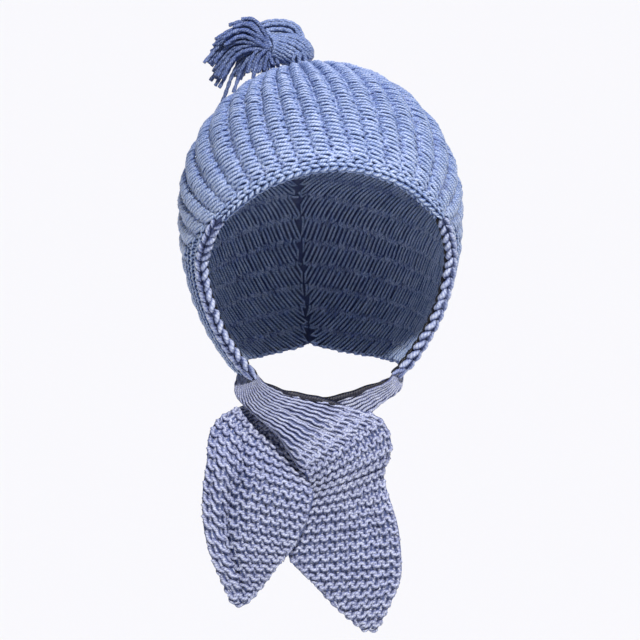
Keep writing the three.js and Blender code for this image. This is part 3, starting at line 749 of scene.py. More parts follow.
# %% The cheek rows
CHEEK_ROW, CHEEK_STITCH = 2.9, 4.6
CHEEK_START, CHEEK_STEPS, BAND_STEPS = 0.02, 90, 12
cheek_pieces = []
for side, name in ((-1, "hood_cheek_left"), (1, "hood_cheek_right")):
    line = side * np.linspace(CHEEK_TOP + CHEEK_START, 1, CHEEK_STEPS)
    reach = np.array([np.interp(across, across_line, cheek_t) for across in line])
    band_t = reach[:, None] * np.linspace(0, 1, BAND_STEPS + 1)
    band_out, band_points, _ = hood_surface(line[:, None], band_t)
    down_run = rib_run(band_points.transpose(1, 0, 2))[0]
    rows = rib_run(band_points) / CHEEK_ROW
    most_rows, most = math.ceil(rows.max()), math.ceil(down_run[-1] / CHEEK_STITCH)
    stitches = np.repeat((down_run / CHEEK_STITCH / most)[:, None], BAND_STEPS + 1, axis=1)
    carrier = make_carrier(name + "_carrier", band_points, band_out, stitches, rows / most_rows)
    sizes = {"Stitches": most, "Rows across": float(most_rows), "Row step": 2.0, "Points": 10,
             "Reach": 0.75, "Bulge": 0.17, "Lift": -2.2 * MM, "Yarn radius": 0.95 * MM}
    cheek_pieces += grow(
        knit_rows, carrier,
        (name + "_rows_up", hood_wool, sizes | {
            "Rows": (most_rows + 1) // 2, "First row": 0.5, "Lean": -1.2 * MM}),
        (name + "_rows_down", hood_wool, sizes | {
            "Rows": most_rows // 2, "First row": 1.5, "Lean": 1.2 * MM}))

# %% [markdown]
# ## The cloth behind the loops
# The stitches' inner halves close the hood. Modelled loop by loop they would double the mesh and
# hardly show, so a thin closed body takes their place, a little higher under each rib.

# %% The hood's cloth
BACKING_TOP, BACKING_THICK, BACKING_CREST = 2.3, 0.5, 1.2
crest = np.cos(math.pi * (across_grid + 1) / 2 * RIB_COUNT) ** 2
cloth_shares, cloth_rise = sunk
cloth_depth = BACKING_TOP + BACKING_CREST * crest * relief - cloth_rise
cloth_front, cloth_behind = (
    on_form(cloth_shares, (cloth_depth + thick)[..., None]) for thick in (0.0, BACKING_THICK))
hood_cloth = make_shell("hood_cloth", cloth_front, cloth_behind, inner_half_painted_shade_wool)

print("hood's cloth:", len(hood_cloth.data.polygons), "faces")
for piece in (hood_cloth, ribs, valleys, lining, *cheek_pieces):
    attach(piece, "root")
    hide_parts("hood")

# %% [markdown]
# ## The scarf ends
# Each end is a strip of garter stitch: every second row leans its loops to the front, the others
# lean to the back, so the strip shows a ridge for each two rows on both faces. Each table row is
# a section across the strip, from below the jaw to the tip. Its last columns are for the
# knitting: the stitch number at the left and right edge, the height of a row, and how full the
# yarn is where the strip is pulled long. Open garter stitch leaves out the last two.

# %% The scarf's sections
GAP, ROOT_GAP = 0.5, 0.8
EDGING_WIDTH, EDGING_THICKNESS, EDGING_PROUD = 6.6, 6.0, 0.7
EDGE_STEP = 0.02
LEFT_ROOT_T, RIGHT_ROOT_T = 0.19, 0.1
CREASE_WIDTH, CREASE_DEEPER = 0.07, 1.5
STEEP_ROWS, DEEPEST_CREASE, CREASE_AT_EDGE = 4.0, 3.6, 0.45
COLUMNS = ("lx", "ly", "lz", "rx", "ry", "rz", "bow", "crease", "at", "first", "last", "row", "full")
USUAL = {"row": 2.85, "full": 1}
RIGHT_END = [
    (-48.5, -21, -175.5, -35, -42, -168, 0.5, 0, 0.5, 2, 9, 5.0, 0.70),
    (-41, -43, -182.5, -25, -52, -172, 1.5, 0, 0.5, 2, 9, 5.5, 0.62),
    (-27, -58, -193, -7, -55, -176, 2, 1, 0.4, 1.5, 9.5, 5.5, 0.68),
    (-19, -63, -205, 10.5, -56, -180.5, 2.5, 1.5, 0.5, 0.5, 10.5, 4.0, 0.82),
    (-14, -62, -216, 28.5, -54, -188, 4, 0, 0.5, 0, 11, 2.9, 1),
    (-12.5, -57, -223, 33.5, -52, -203, 6.5, 0, 0.5, 0, 11),
    (-15, -54, -231, 29.5, -50, -218, 6, 0, 0.5, 0, 11),
    (-18.5, -53, -240, 33, -52, -232.5, 4, 1.2, 0.75, 0, 11),
    (-22, -53, -252, 37, -53, -246, 3, 1.6, 0.8, 0, 11),
    (-22.5, -54, -263.5, 38.7, -54, -260, 2.5, 1.6, 0.82, 0, 11),
    (-11, -55, -276, 38.7, -54, -275, 2, 1.2, 0.8, 2, 11),
    (0.5, -55, -288.5, 33.8, -54, -287.5, 1.5, 0.6, 0.7, 5, 11),
    (11, -54, -298, 29, -53, -297.5, 1, 0, 0.5, 7.7, 11),
    (18.5, -53, -304, 25.5, -52, -304.5, 0.3, 0, 0.5, 9.7, 11),
]
LEFT_END = [
    (32, -41, -167.6, 40, -28, -174, 0, 0, 0.5, 3, 8, 5.0, 0.70),
    (20.5, -44, -171.5, 29, -38, -179.5, 0, 0, 0.5, 3, 8, 5.5, 0.62),
    (3, -45, -177, 14, -45, -190, 0, 0, 0.5, 2.5, 8.5, 5.5, 0.68),
    (-21.5, -39, -178.5, -3, -49, -199, 0.5, 0, 0.5, 1, 10, 5.0, 0.8),
    (-40, -27, -181, -17, -54, -208, 1, 0, 0.5, 0, 11, 4.0, 0.9),
    (-58, -34, -187, -13.5, -54, -215, 3, 1.5, 0.35, 0, 11, 3.0, 1),
    (-66, -43, -196, -13, -58.5, -219.5, 3.5, 2.5, 0.32, 0, 11),
    (-68, -51, -209, -11, -63, -227, 3.5, 3.2, 0.3, 0, 11),
    (-70.5, -53, -225.5, -13.5, -64, -238.5, 3, 3.6, 0.27, 0, 11),
    (-70.5, -54, -242, -18.5, -63, -251, 2.5, 3.6, 0.24, 0, 10),
    (-68, -55, -256, -24, -61, -259.5, 2.5, 3, 0.26, 0, 8.2),
    (-63, -55, -269.5, -32, -59, -269.5, 2, 2, 0.35, 0, 5.8),
    (-58, -55, -280.5, -39.5, -57, -280, 1, 0.8, 0.45, 0, 3.4),
    (-54, -55, -288.5, -48.5, -56, -289, 0.3, 0, 0.5, 0, 1.2),
]
SCARF_STITCHES = 11
ROW_STEPS, STRIP_STEPS, SLOPE_STEP = 33, 160, 0.004


def edge_frame(across):
    """The corner at the front edge, the way off the hood to the face, and the way outwards."""
    share = rib_share(across, 0.0)
    corner = on_form(share)
    outward = form_normal(share)
    face = unit(corner - on_form(rib_share(across, EDGE_STEP)))
    face = unit(face - outward * np.sum(face * outward, axis=-1, keepdims=True))
    return corner, face, outward


def scarf_root(side):
    corner, face, outward = edge_frame(float(side))
    rear = on_form(rib_share(float(side), LEFT_ROOT_T if side < 0 else RIGHT_ROOT_T))
    front = corner + face * (GAP + EDGING_WIDTH)
    down = unit(np.cross(rear - front, outward))
    down = -down if down[2] > 0 else down
    clear = ROOT_GAP + max(0.0, float((corner - front) @ down))
    front, rear = (point + down * clear - outward * WALL / 2 for point in (front, rear))
    return front, rear


def scarf_strip(table, side):
    """The strip's middle surface, its outward directions, and its knitting measures."""
    front, rear = scarf_root(side)
    ends = (rear, front) if side < 0 else (front, rear)
    rows = [USUAL | dict(zip(COLUMNS, row)) for row in table]
    lefts = [ends[0]] + [(row["lx"], row["ly"], row["lz"]) for row in rows]
    rights = [ends[1]] + [(row["rx"], row["ry"], row["rz"]) for row in rows]
    shape = [rows[0] | {"bow": 0, "crease": 0, "at": 0.5}] + rows

    def measure(name, v):
        return np.interp(v * len(table), np.arange(len(shape)), [row[name] for row in shape])

    def middle(u, v):
        left, right = (through(points, v * len(table)) for points in (lefts, rights))
        point = left + (right - left) * u[..., None]
        forward = measure("bow", v) * np.sin(math.pi * u)
        fold = np.exp(-((u - measure("at", v)) / CREASE_WIDTH) ** 2)
        fold = CREASE_DEEPER * measure("crease", v) * fold
        point[..., 1] -= forward - fold
        return point

    v, u = np.meshgrid(
        np.linspace(0, 1, STRIP_STEPS + 1), np.linspace(0, 1, ROW_STEPS + 1), indexing="ij")
    across = middle(np.minimum(1, u + SLOPE_STEP), v) - middle(np.maximum(0, u - SLOPE_STEP), v)
    along = middle(u, np.minimum(1, v + SLOPE_STEP)) - middle(u, np.maximum(0, v - SLOPE_STEP))
    outward = unit(np.cross(along, across))
    points = middle(u, v)
    length = np.linalg.norm(np.diff(points[:, ROW_STEPS // 2], axis=0), axis=1)
    row_number = np.concatenate([[0], np.cumsum(length / measure("row", v[:-1, 0]))])
    stitch = measure("first", v) + (measure("last", v) - measure("first", v)) * u
    beside = np.clip(1 - u / measure("at", v), 0, 1) * (measure("at", v) < CREASE_AT_EDGE)
    steep = STEEP_ROWS * beside * measure("crease", v) / DEEPEST_CREASE
    return {
        "points": points, "out": outward, "v": v, "full": measure("full", v),
        "rows": row_number[:, None] + steep, "stitches": stitch,
        "length": float(length.sum()),
    }


scarf = {
    "scarf_end_right": scarf_strip(RIGHT_END, -1),
    "scarf_end_left": scarf_strip(LEFT_END, 1),
}
print({name: (round(strip["length"]), round(strip["rows"].max())) for name, strip in scarf.items()})

# %% [markdown]
# ## Wound edges
# The edge of garter stitch is a line of small knots, one for each ridge, where the yarn turns
# back. A yarn that winds along the edge gives them.

# %% A tree that winds yarn along an edge


def winding_tree():
    tree, node, given = new_tree("wound edge", {
        "Turn": 0.0057, "Points": 10, "Sides": 6, "Yarn radius": 0.0009,
        "Width": 0.0007, "Height": 0.0011, "Unevenness": 0.0009})
    curve = node("GeometryNodeMeshToCurve", given["Geometry"])
    step = node(MATH, given["Turn"], given["Points"], operation="DIVIDE")
    curve = node("GeometryNodeResampleCurve", inputs={"Curve": curve, "Length": step}, mode="LENGTH")
    length = node("GeometryNodeSplineParameter").outputs["Length"]
    turns = node(MATH, length, given["Turn"], operation="DIVIDE")
    angle = node(MATH, turns, TAU, operation="MULTIPLY")
    out = node(NAMED, "out", data_type="FLOAT_VECTOR")
    aside = node(VECTOR, node("GeometryNodeInputTangent"), out, operation="CROSS_PRODUCT")
    aside = node(VECTOR, aside, operation="NORMALIZE")
    wide = node(MATH, node(MATH, angle, operation="COSINE"), given["Width"], operation="MULTIPLY")
    high = node(MATH, node(MATH, angle, operation="SINE"), given["Height"], operation="MULTIPLY")
    wide = node(VECTOR, aside, inputs={"Scale": wide}, operation="SCALE")
    high = node(VECTOR, out, inputs={"Scale": high}, operation="SCALE")
    offset = node(VECTOR, wide, high, operation="ADD")
    offset = node(VECTOR, offset, uneven(tree, turns, 0.0, given["Unevenness"]), operation="ADD")
    wound = node("GeometryNodeSetPosition", inputs={"Geometry": curve, "Offset": offset})
    full = node(NAMED, "full", data_type="FLOAT")
    yarn_from(tree, given, wound, full)
    return tree


def path_mesh(name, strands):
    """A mesh of bare lines, one for each strand."""
    links, first = [], 0
    for strand in strands:
        links += [(first + i, first + i + 1) for i in range(len(strand) - 1)]
        first += len(strand)
    return make_mesh(name, np.vstack(strands), links=links)


def edge_path(name, points, out, full):
    """A line of points that knows its outward direction and how full its yarn is."""
    mesh = path_mesh(name, [points])
    keep(mesh, "out", out)
    keep(mesh, "full", np.broadcast_to(full, len(points)))
    return add_object(name, mesh)


wind_edge = winding_tree()
print(wind_edge.name, "has", len(wind_edge.nodes), "nodes")

# %% [markdown]
# ## Garter ridges and drawn straps
# Below the crossing each end is open garter stitch. Between the jaw and the crossing it is pulled
# long, so its columns of stitches close up into fine strands that run along the strap. Both are
# the same rows-of-loops tree: on the strap its rows run lengthways. The lower edge of the strap
# rolls back, and the edge towards the chin rolls in, as a thick yarn in near-black painted shade.

# %% The scarf ends' yarn
SLAB_HALF = 0.4
STRAP_SHARE, STRAP_OVERLAP = 0.30, 0.04
STRAP_STITCH, STRAP_START, STRAP_LOOK_AHEAD = 7.0, 3.0, 6
STRAP_FULL, STRAP_THIN_TO = 0.75, 0.3
STRAND_LIFT = 0.9
DRAWN_RELIEF, DRAWN_FULL = 0.5, 0.8
CURL_STEPS, CURL_TURN = 10, 2.7
CURL_ASIDE, CURL_DEPTH, CURL_LEAST = 2.6, 6.5, 0.01
# Where the roll of the lower edge begins, is full, begins to open and has opened, down the strip.
CURL_FROM, CURL_FULL, CURL_OPENS, CURL_OPEN = 0.05, 0.14, 0.24, 0.42
# The roll towards the chin starts thin, is full a little lower and thins again to its tip.
ROLL_LEAST, ROLL_FROM, ROLL_FULL, ROLL_TIP, ROLL_TIP_FROM = 0.25, 0.04, 0.2, 0.8, 0.9
SELVEDGE_INSET = 0.05
# `lower` and `chin` are columns of the strip: 0 is its left edge and -1 its right edge.
STRAPS = {
    "scarf_end_right": {"strands": 17, "radius": 0.95, "lower": 0, "curl": 1.0, "chin": -1, "end": 0.27},
    "scarf_end_left": {"strands": 9, "radius": 1.25, "lower": -1, "curl": 0.4, "chin": 0, "end": 0.26},
}
garter = {"Stitches": SCARF_STITCHES, "Row step": 2.0, "Yarn radius": 1.15 * MM,
          "Unevenness": 0.4, "Roughness": 1.5 * MM, "Dip": 0.3 * MM}
strand = {"Points": 8, "Reach": 0.1, "Bulge": 0.04, "Unevenness": 0.2, "Roughness": 1.2 * MM}
chin_edge = {"Turn": 0.014, "Points": 12, "Sides": 10, "Yarn radius": 2.2 * MM,
             "Width": 0.2 * MM, "Height": 0.3 * MM, "Unevenness": 0.4 * MM}


def knit_garter(name, strip, below):
    points, out, stitches, rows, full = (
        strip[part][below] for part in ("points", "out", "stitches", "rows", "full"))
    count = math.ceil(rows.max())
    relief = DRAWN_RELIEF + (1 - DRAWN_RELIEF) * smooth(DRAWN_FULL, 1, full)
    carrier = make_carrier(
        name + "_carrier", points, out, stitches / SCARF_STITCHES, rows / count, relief, full)
    sizes = garter | {"Rows": count // 2, "Rows across": float(count)}
    return grow(
        knit_rows, carrier,
        (name + "_rows_up", scarf_wool, sizes | {
            "First row": 0.5, "Reach": 0.9, "Bulge": 0.17, "Lean": 1.2 * MM}),
        (name + "_rows_down", scarf_wool, sizes | {
            "First row": 1.5, "Reach": 0.95, "Bulge": 0.19, "Lean": -1.4 * MM}))


def with_curl(strip, lower, curl):
    """Points and outward directions of a strip whose lower edge is carried on round a roll."""
    points, out, v = strip["points"], strip["out"], strip["v"][:, 0]
    size = smooth(CURL_FROM, CURL_FULL, v) * (1 - smooth(CURL_OPENS, CURL_OPEN, v))
    size = (size * curl + CURL_LEAST)[:, None, None]
    turn = np.linspace(CURL_TURN, 0, CURL_STEPS + 1)[None, :-1, None]
    edge, edge_out = points[:, lower, None], out[:, lower, None]
    aside = unit(edge - points[:, 1 if lower == 0 else -2, None])
    sideways, backwards = CURL_ASIDE * np.sin(turn), CURL_DEPTH * (1 - np.cos(turn))
    rolled = edge + size * (aside * sideways - edge_out * backwards)
    rolled_out = edge_out * np.cos(turn) + aside * np.sin(turn)
    return [np.concatenate([roll, whole] if lower == 0 else [whole, roll[:, ::-1]], axis=1)
            for roll, whole in ((rolled, points), (rolled_out, out))]


def draw_strands(name, strap, strap_out, count, radius):
    """Strands along the strap, which start a little above its root, under the jaw."""
    above = strap[:1] - STRAP_START * unit(strap[STRAP_LOOK_AHEAD][None] - strap[:1])
    strap, strap_out = np.vstack([above, strap]), np.vstack([strap_out[:1], strap_out])
    run = rib_run(strap.transpose(1, 0, 2)).mean(axis=0)
    stitches = math.ceil(run[-1] / STRAP_STITCH)
    along = np.repeat((run / STRAP_STITCH / stitches)[:, None], strap.shape[1], axis=1)
    across = rib_run(strap)
    thin = smooth(STRAP_THIN_TO, 1, run / run[-1])[:, None]
    carrier = make_carrier(name + "_strap", strap, strap_out, along, across / across[:, -1:],
                           fullness=STRAP_FULL + (1 - STRAP_FULL) * thin)
    sizes = strand | {"Rows": count, "Rows across": float(count), "Stitches": stitches,
                      "Yarn radius": radius * MM}
    return grow(
        knit_rows, carrier,
        (name + "_strands_front", scarf_wool, sizes | {"Lift": STRAND_LIFT * MM}),
        (name + "_strands_back", scarf_wool, sizes | {"Lift": -STRAND_LIFT * MM}))


def wind_edges(name, strip, first, chin, end):
    """The knots round the open garter stitch, and the thick roll towards the chin in painted shade."""
    points, out, v = strip["points"], strip["out"], strip["v"][:, 0]
    inner = points + (points.mean(axis=1, keepdims=True) - points) * SELVEDGE_INSET
    around = [np.vstack((part[first:, 0], part[-1], part[:first:-1, -1])) for part in (inner, out)]
    path = edge_path(name + "_path", *around, 1.0)
    selvedge = grow(wind_edge, path, (name + "_selvedge", scarf_wool, {}))
    last = int(np.searchsorted(v, end))
    taper = ROLL_LEAST + (1 - ROLL_LEAST) * smooth(ROLL_FROM, ROLL_FULL, v)
    taper = taper * (1 - ROLL_TIP * smooth(ROLL_TIP_FROM, 1, v / end))
    path = edge_path(name + "_path", points[:last, chin], out[:last, chin], taper[:last])
    return selvedge + grow(wind_edge, path, (name + "_chin_roll_painted_shade", painted_shade_wool, chin_edge))


scarf_pieces = {}
for node, strip in scarf.items():
    facts = STRAPS[node]
    first, last = (int(np.searchsorted(strip["v"][:, 0], STRAP_SHARE + overlap))
                   for overlap in (-STRAP_OVERLAP, STRAP_OVERLAP))
    rows = knit_garter(node, strip, slice(first, None))
    whole, whole_out = with_curl(strip, facts["lower"], facts["curl"])
    strands = draw_strands(
        node, whole[:last + 1], whole_out[:last + 1], facts["strands"], facts["radius"])
    edges = wind_edges(node, strip, first, facts["chin"], facts["end"])
    half_slab = whole_out * SLAB_HALF
    cloth = make_shell(node + "_cloth", whole + half_slab, whole - half_slab, inner_half_painted_shade_wool)
    scarf_pieces[node] = [cloth, *rows, *strands, *edges]
    for piece in scarf_pieces[node]:
        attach(piece, "root")
        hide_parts(node)

# %% [markdown]
# ## The edging
# Along the face the knitter picked up a firm border. It looks like a braid of Vs that runs along
# the rim: one plump column beside each cheek, two finer ones over the brow, and one inside, in
# near-black painted shade. Each leg of a V is a short length of yarn that comes up from under the
# last V and dives under the next, so a tree lays the legs one by one instead of drawing a row.

# %% A tree that lays braids
# A leg leaves the middle of its V at once, runs on in a bow, and is thin where it dives under.
LEG_BOW, LEG_APART, LEG_PLUMP, LEG_THIN = 0.8, 0.08, 0.45, 0.25


def braid_tree():
    tree, node, given = new_tree("braid of Vs", {
        "Stitches": 60, "Columns": 3, "Points": 9, "Sides": 8, "Yarn radius": 0.0013,
        "Overlap": 1.25, "Spread": 0.33, "Lift": 0.0007, "Unevenness": 0.35})
    line = node("GeometryNodeCurvePrimitiveLine", inputs={"End": (1.0, 0.0, 0.0)})
    line = node("GeometryNodeResampleCurve", inputs={"Curve": line, "Count": given["Points"]})
    legs = node(MATH, given["Stitches"], 2.0, operation="MULTIPLY")
    amount = node(MATH, legs, given["Columns"], operation="MULTIPLY")
    copies = node("GeometryNodeDuplicateElements", inputs={
        "Geometry": line, "Amount": amount}, domain="SPLINE")
    index = copies.outputs["Duplicate Index"]
    column = node(MATH, node(MATH, index, legs, operation="DIVIDE"), operation="FLOOR")
    leg = node(MATH, index, legs, operation="MODULO")
    stitch = node(MATH, node(MATH, leg, 2.0, operation="DIVIDE"), operation="FLOOR")
    side = node(MATH, node(MATH, leg, 2.0, operation="MODULO"), 2.0, -1.0, operation="MULTIPLY_ADD")
    share = node("ShaderNodeSeparateXYZ", node("GeometryNodeInputPosition"))
    along = node(MATH, share, given["Overlap"], stitch, operation="MULTIPLY_ADD")
    spread = node(MATH, share, LEG_BOW, operation="POWER")
    aside = node(MATH, spread, given["Spread"], LEG_APART, operation="MULTIPLY_ADD")
    middle = node(MATH, column, 0.5, operation="ADD")
    over = node(MATH, aside, side, middle, operation="MULTIPLY_ADD")
    target = node(VECTOR, node("ShaderNodeCombineXYZ", along, over),
                  uneven(tree, along, over, given["Unevenness"]), operation="ADD")
    read = read_carrier(tree, given, target, given["Columns"])
    arch = node(MATH, node(MATH, share, math.pi, operation="MULTIPLY"), operation="SINE")
    rise = node(MATH, arch, given["Lift"], operation="MULTIPLY")
    plump = node(MATH, arch, LEG_PLUMP, operation="POWER")
    plump = node(MATH, plump, LEG_THIN, operation="MAXIMUM")
    fullness = node("ShaderNodeSeparateXYZ", read["shape"]).outputs["Y"]
    fullness = node(MATH, plump, fullness, operation="MULTIPLY").outputs[0]
    bent, fullness = lay_on(tree, copies, read, rise, fullness)
    yarn_from(tree, given, bent, fullness)
    return tree


lay_braid = braid_tree()
print(lay_braid.name, "has", len(lay_braid.nodes), "nodes")

# %% [markdown]
# ## The band round the face
# The border is folded round the face edge, so its carrier is a U as thick as the band. It is cut
# into stretches, because the cheeks, the brow and the inside show different Vs. At each jaw it is
# drawn down, so that it runs on into the strap of the scarf.

# %% The edging
OUTER_SHARE, BROW_END = 0.68, 0.44
JOINT_FULL, JOINT_SHARE = 0.7, 0.2
BRAID_DEPTH, CORE_DEPTHS = 1.3, (2.2, 2.9)
JAW_FROM, JAW_REACH_DOWN, JAW_TAPER = 0.96, 7.0, 0.5
EDGE_STATIONS, WRAP_STEPS = 4 * RIB_COUNT, 24

stations = np.linspace(-1, 1, EDGE_STATIONS + 1)
corner, face, outward = (values[:, None] for values in edge_frame(stations))
half_band = EDGING_THICKNESS / 2
flat = EDGING_WIDTH - half_band


def edging_grid(depth):
    """Points and outward directions on a U round the band's free edge, `depth` below its skin."""
    radius = half_band - depth
    bend = math.pi * radius
    run = np.linspace(0, 2 * flat + bend, WRAP_STEPS + 1)
    turn = (np.clip((run - flat) / bend, 0, 1) * math.pi)[None, :, None]
    away = GAP + (np.minimum(run, flat) - np.maximum(0, run - flat - bend))[None, :, None]
    away = away + np.sin(turn) * radius
    high = np.cos(turn) * radius + (EDGING_PROUD - half_band)
    points = corner + face * away + outward * high
    return points, face * np.sin(turn) + outward * np.cos(turn)


edging_points, edging_out = edging_grid(BRAID_DEPTH)
jaw_share = smooth(JAW_FROM, 1, np.abs(stations))
for side, node, front in ((-1, "scarf_end_right", -1), (1, "scarf_end_left", 0)):
    strap = scarf[node]["points"]
    pull = JAW_REACH_DOWN * unit(strap[STRAP_LOOK_AHEAD, front] - strap[0, front])
    edging_points += (jaw_share * (side * stations > 0))[:, None, None] * pull
edging_full = 1 - JAW_TAPER * jaw_share
run_share, wrap_share = np.meshgrid(
    np.linspace(0, 1, EDGE_STATIONS + 1), np.linspace(0, 1, WRAP_STEPS + 1), indexing="ij")
split = round(WRAP_STEPS * OUTER_SHARE)
brow_from, brow_to = (int(np.argmin(np.abs(stations - end))) for end in (-BROW_END, BROW_END))
outside, inside = slice(0, split + 1), slice(split, None)
# The columns are the name, the stretch along the rim, the part round it, how many columns of Vs,
# the stitch and the yarn's radius in mm, the ends where the yarn thins to a joint, and the wool.
stretches = [
    ("face_edging_left", slice(0, brow_from + 1), outside, 1, 6.2, 1.75, (1,), edging_wool),
    ("face_edging_brow", slice(brow_from, brow_to + 1), outside, 2, 5.2, 1.15, (0, 1), hood_wool),
    ("face_edging_right", slice(brow_to, None), outside, 1, 6.2, 1.75, (0,), edging_wool),
    # The inside stretch is yarn in near-black painted shade.
    ("face_edging_inside_painted_shade", slice(None), inside, 1, 6.0, 1.4, (0,), painted_shade_wool),
]
braids = []
for name, stretch, part, columns, stitch, radius, joints, material in stretches:
    run, wrap = run_share[stretch, part], wrap_share[stretch, part]
    stitches = round((run[-1, 0] - run[0, 0]) * edge_length[-1] / stitch)
    run = (run - run[0, 0]) / (run[-1, 0] - run[0, 0])
    wrap = (wrap - wrap[0, 0]) / (wrap[0, -1] - wrap[0, 0])
    off_joint = np.min([np.abs(run - joint) for joint in joints], axis=0)
    full = JOINT_FULL + (1 - JOINT_FULL) * smooth(0, JOINT_SHARE, off_joint)
    carrier = make_carrier(
        name + "_carrier", edging_points[stretch, part], edging_out[stretch, part], run, wrap,
        fullness=edging_full[stretch, None] * full)
    braids += grow(lay_braid, carrier, (name, material, {
        "Stitches": stitches, "Columns": columns, "Yarn radius": radius * MM}))
core_front, core_behind = (edging_grid(depth)[0] for depth in CORE_DEPTHS)
edging_cloth = make_shell("face_edging_cloth", core_front, core_behind, inner_half_painted_shade_wool)
for piece in (edging_cloth, *braids):
    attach(piece, "root")
    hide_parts("face_edging")

# %% [markdown]
# ## The tassel
# A bundle of thicker yarn is folded over the tie, bound once, and falls over the crown. Each
# strand shows its two plies wound round each other, so a tree winds two thinner yarns round each
# strand's path.

# %% A tree that plies strands


def plying_tree():
    tree, node, given = new_tree("two plies", {
        "Lay": 0.009, "Points": 8, "Sides": 6, "Yarn radius": 0.0009, "Ply offset": 0.00032})
    curve = node("GeometryNodeMeshToCurve", given["Geometry"])
    step = node(MATH, given["Lay"], given["Points"], operation="DIVIDE")
    curve = node("GeometryNodeResampleCurve", inputs={"Curve": curve, "Length": step}, mode="LENGTH")
    copies = node("GeometryNodeDuplicateElements", inputs={
        "Geometry": curve, "Amount": 2}, domain="SPLINE")
    length = node("GeometryNodeSplineParameter").outputs["Length"]
    turns = node(MATH, length, given["Lay"], operation="DIVIDE")
    start = node(MATH, copies.outputs["Duplicate Index"], math.pi, operation="MULTIPLY")
    angle = node(MATH, turns, TAU, start, operation="MULTIPLY_ADD")
    normal = node("GeometryNodeInputNormal")
    across = node(VECTOR, node("GeometryNodeInputTangent"), normal, operation="CROSS_PRODUCT")
    one = node(MATH, node(MATH, angle, operation="COSINE"), given["Ply offset"], operation="MULTIPLY")
    two = node(MATH, node(MATH, angle, operation="SINE"), given["Ply offset"], operation="MULTIPLY")
    offset = node(VECTOR, node(VECTOR, normal, inputs={"Scale": one}, operation="SCALE"),
                  node(VECTOR, across, inputs={"Scale": two}, operation="SCALE"), operation="ADD")
    wound = node("GeometryNodeSetPosition", inputs={"Geometry": copies, "Offset": offset})
    yarn_from(tree, given, wound, 1.0)
    return tree


ply_strands = plying_tree()
print(ply_strands.name, "has", len(ply_strands.nodes), "nodes")

# %% [markdown]
# ## Bundles of strands
# Hair tools could fill the tassel, but lines laid one by one follow its bulb, its fold and its
# locks. Each line becomes a bundle: strands round it, each moved a little by a seeded draw.

# %% The tassel's lines
BULB_END = np.array([0.5, 50.5, 1.0])
CINCH = np.array([-23.5, 45.5, 7.0])
BULB_RADIUS, CINCH_RADIUS, BULB_ARCH = 9.5, 7.2, 1.5
BULB_CAP, BULB_LEAST, WAIST_FROM = 0.45, 0.15, 0.5
STRAND_RADIUS = 1.15
BULB_STRANDS, BULB_TWIST = 22, 1.3
BULB_JITTER, LOCK_JITTER, FOLD_JITTER = 0.02, 0.1, 0.04
# The columns are a lock's tip, how far its middle arches up, and its radius, in mm.
LOCKS = [
    (-39, 45, 20.5, 7, 3.8), (-46, 41, 17.5, 7, 3.8), (-52.5, 37, 10.5, 7, 4),
    (-55, 46, 4, 8, 4), (-58, 39, -2.5, 8.5, 4), (-57, 49, -10, 9, 3.8),
    (-54.5, 36, -12, 8, 3.4), (-50.5, 44, -24, 8, 1.2), (-44.5, 38, -16.5, 6, 1.2),
    (-42, 48, -13.5, 7, 3.6), (-35, 38, -9, 4, 3.8), (-46, 55, 1, 8, 4),
    (-28, 41, -6.5, 1, 3.2), (-21, 40, -3.5, -1, 3.2),
]
LOCK_START, LOCK_OVERHANG, LOCK_WAIST, LOCK_SPREAD = 0.25, 0.35, 0.9, 0.25
LOCK_RING, LOCK_CUT = 5, 4
FOLD_TOP = np.array([-11, 52, 15.5])
FOLD_REACH, FOLD_RADIUS, FOLD_START, FOLD_END = 15.0, 5.6, 0.1, 0.3
BULB_STEPS, LOCK_STEPS, KNOT_STEPS = 24, 30, 14
KNOT = np.array([-9.5, 38.2, 2.5])
KNOT_WIDE, KNOT_HIGH, KNOT_PAST, KNOT_LEAN, KNOT_STEP = 1.7, 4.2, 0.8, 0.3, 3.6
draw = np.random.default_rng(11)


def across_of(line):
    """Two directions square to a line of points, carried along it without twisting."""
    tangents = unit(np.gradient(line, axis=0))
    first = unit(np.cross(tangents[0], (0.0, 0.0, 1.0)))
    firsts = []
    for tangent in tangents:
        first = unit(first - tangent * (first @ tangent))
        firsts.append(first)
    firsts = np.array(firsts)
    return firsts, np.cross(tangents, firsts)


def bundle(line, radius_at, places, jitter, twist=0.0):
    """Strands that run along a line, each at its own place in the bundle."""
    first, second = across_of(line)
    t = np.linspace(0, 1, len(line))[:, None]
    spread = radius_at(t)
    cosine, sine = np.cos(twist * t), np.sin(twist * t)
    strands = []
    for x, y in places:
        x, y = (x, y) + draw.normal(0, jitter, 2)
        strands.append(line + spread * (
            first * (x * cosine - y * sine) + second * (x * sine + y * cosine)))
    return strands


def ring_places(count, radius, turn=0.0):
    angles = [TAU * i / count + turn for i in range(count)]
    return [(radius * math.cos(a), radius * math.sin(a)) for a in angles]


def between(start, end, share):
    return start * (1 - share) + end * share


def bulb_radius(t):
    cap = np.sqrt(np.clip(1 - (1 - np.minimum(1, t / BULB_CAP)) ** 2, 0, 1))
    waist = BULB_RADIUS + (CINCH_RADIUS - BULB_RADIUS) * smooth(WAIST_FROM, 1, t)
    return np.maximum(BULB_LEAST, cap) * waist - STRAND_RADIUS


print("locks:", len(LOCKS))

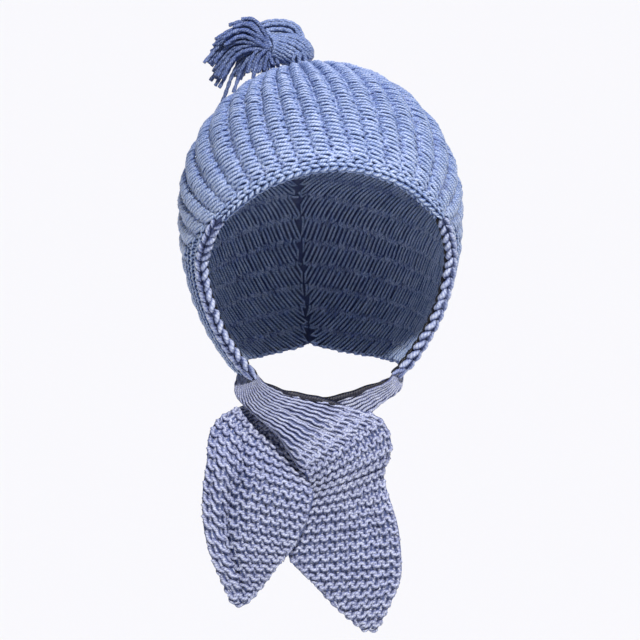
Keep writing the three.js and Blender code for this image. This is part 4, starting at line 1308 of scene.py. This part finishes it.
# %% The tassel's strands
bulb_middle = (BULB_END + CINCH) / 2 + np.array([0, 0, BULB_ARCH])
bulb_line = through([BULB_END, bulb_middle, CINCH], np.linspace(0, 2, BULB_STEPS + 1))
head_strands = bundle(
    bulb_line, bulb_radius, ring_places(BULB_STRANDS, 1.0), BULB_JITTER, BULB_TWIST)

fringe_strands = []
for *tip, arch, radius in LOCKS:
    tip = np.array(tip, float)
    bend = (CINCH + tip) / 2 + np.array([-arch * LOCK_OVERHANG, 0, arch])
    start = between(CINCH, BULB_END, LOCK_START)
    line = through([start, CINCH, bend, tip], np.linspace(0, 3, LOCK_STEPS + 1))
    room = max(0.0, radius - STRAND_RADIUS)
    single = room < 1
    places = [(0, 0)]
    if not single:
        places += ring_places(LOCK_RING, 1.0, draw.uniform(0, TAU))
    lock = bundle(
        line, lambda t, room=room: room * (LOCK_WAIST + LOCK_SPREAD * t), places, LOCK_JITTER)
    most_cut = 1 if single else LOCK_CUT
    fringe_strands += [strand[:len(strand) - draw.integers(0, most_cut)] for strand in lock]

fold_points = [between(CINCH, BULB_END, FOLD_START), FOLD_TOP - np.array([FOLD_REACH, 0, 0]),
               FOLD_TOP, between(BULB_END, CINCH, FOLD_END)]
fold_line = through(fold_points, np.linspace(0, 3, LOCK_STEPS + 1))
head_strands += bundle(fold_line, lambda t: np.full(t.shape, FOLD_RADIUS - STRAND_RADIUS),
                       [(0, 0), *ring_places(5, 0.5), *ring_places(10, 1.0)], FOLD_JITTER)

# The tie is two loops of yarn in front, where the bulb meets the hood.
turn = np.linspace(-KNOT_PAST, math.pi + KNOT_PAST, KNOT_STEPS + 1)[:, None]
knot_loop = np.hstack([-KNOT_WIDE * np.cos(turn), 0 * turn, KNOT_HIGH * (np.sin(turn) - 0.5)])
head_strands += [KNOT + np.array([shift, KNOT_LEAN * shift, 0]) + knot_loop
                 for shift in (0.0, KNOT_STEP)]

for name, strands, material in (("tassel_head", head_strands, tassel_wool),
                                ("tassel_fringe", fringe_strands, fringe_painted_shade_wool)):
    paths = add_object(name + "_paths", path_mesh(name + "_paths", strands))
    piece, = grow(ply_strands, paths, (name, material, {}))
    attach(piece, "root")
    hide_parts("tassel")
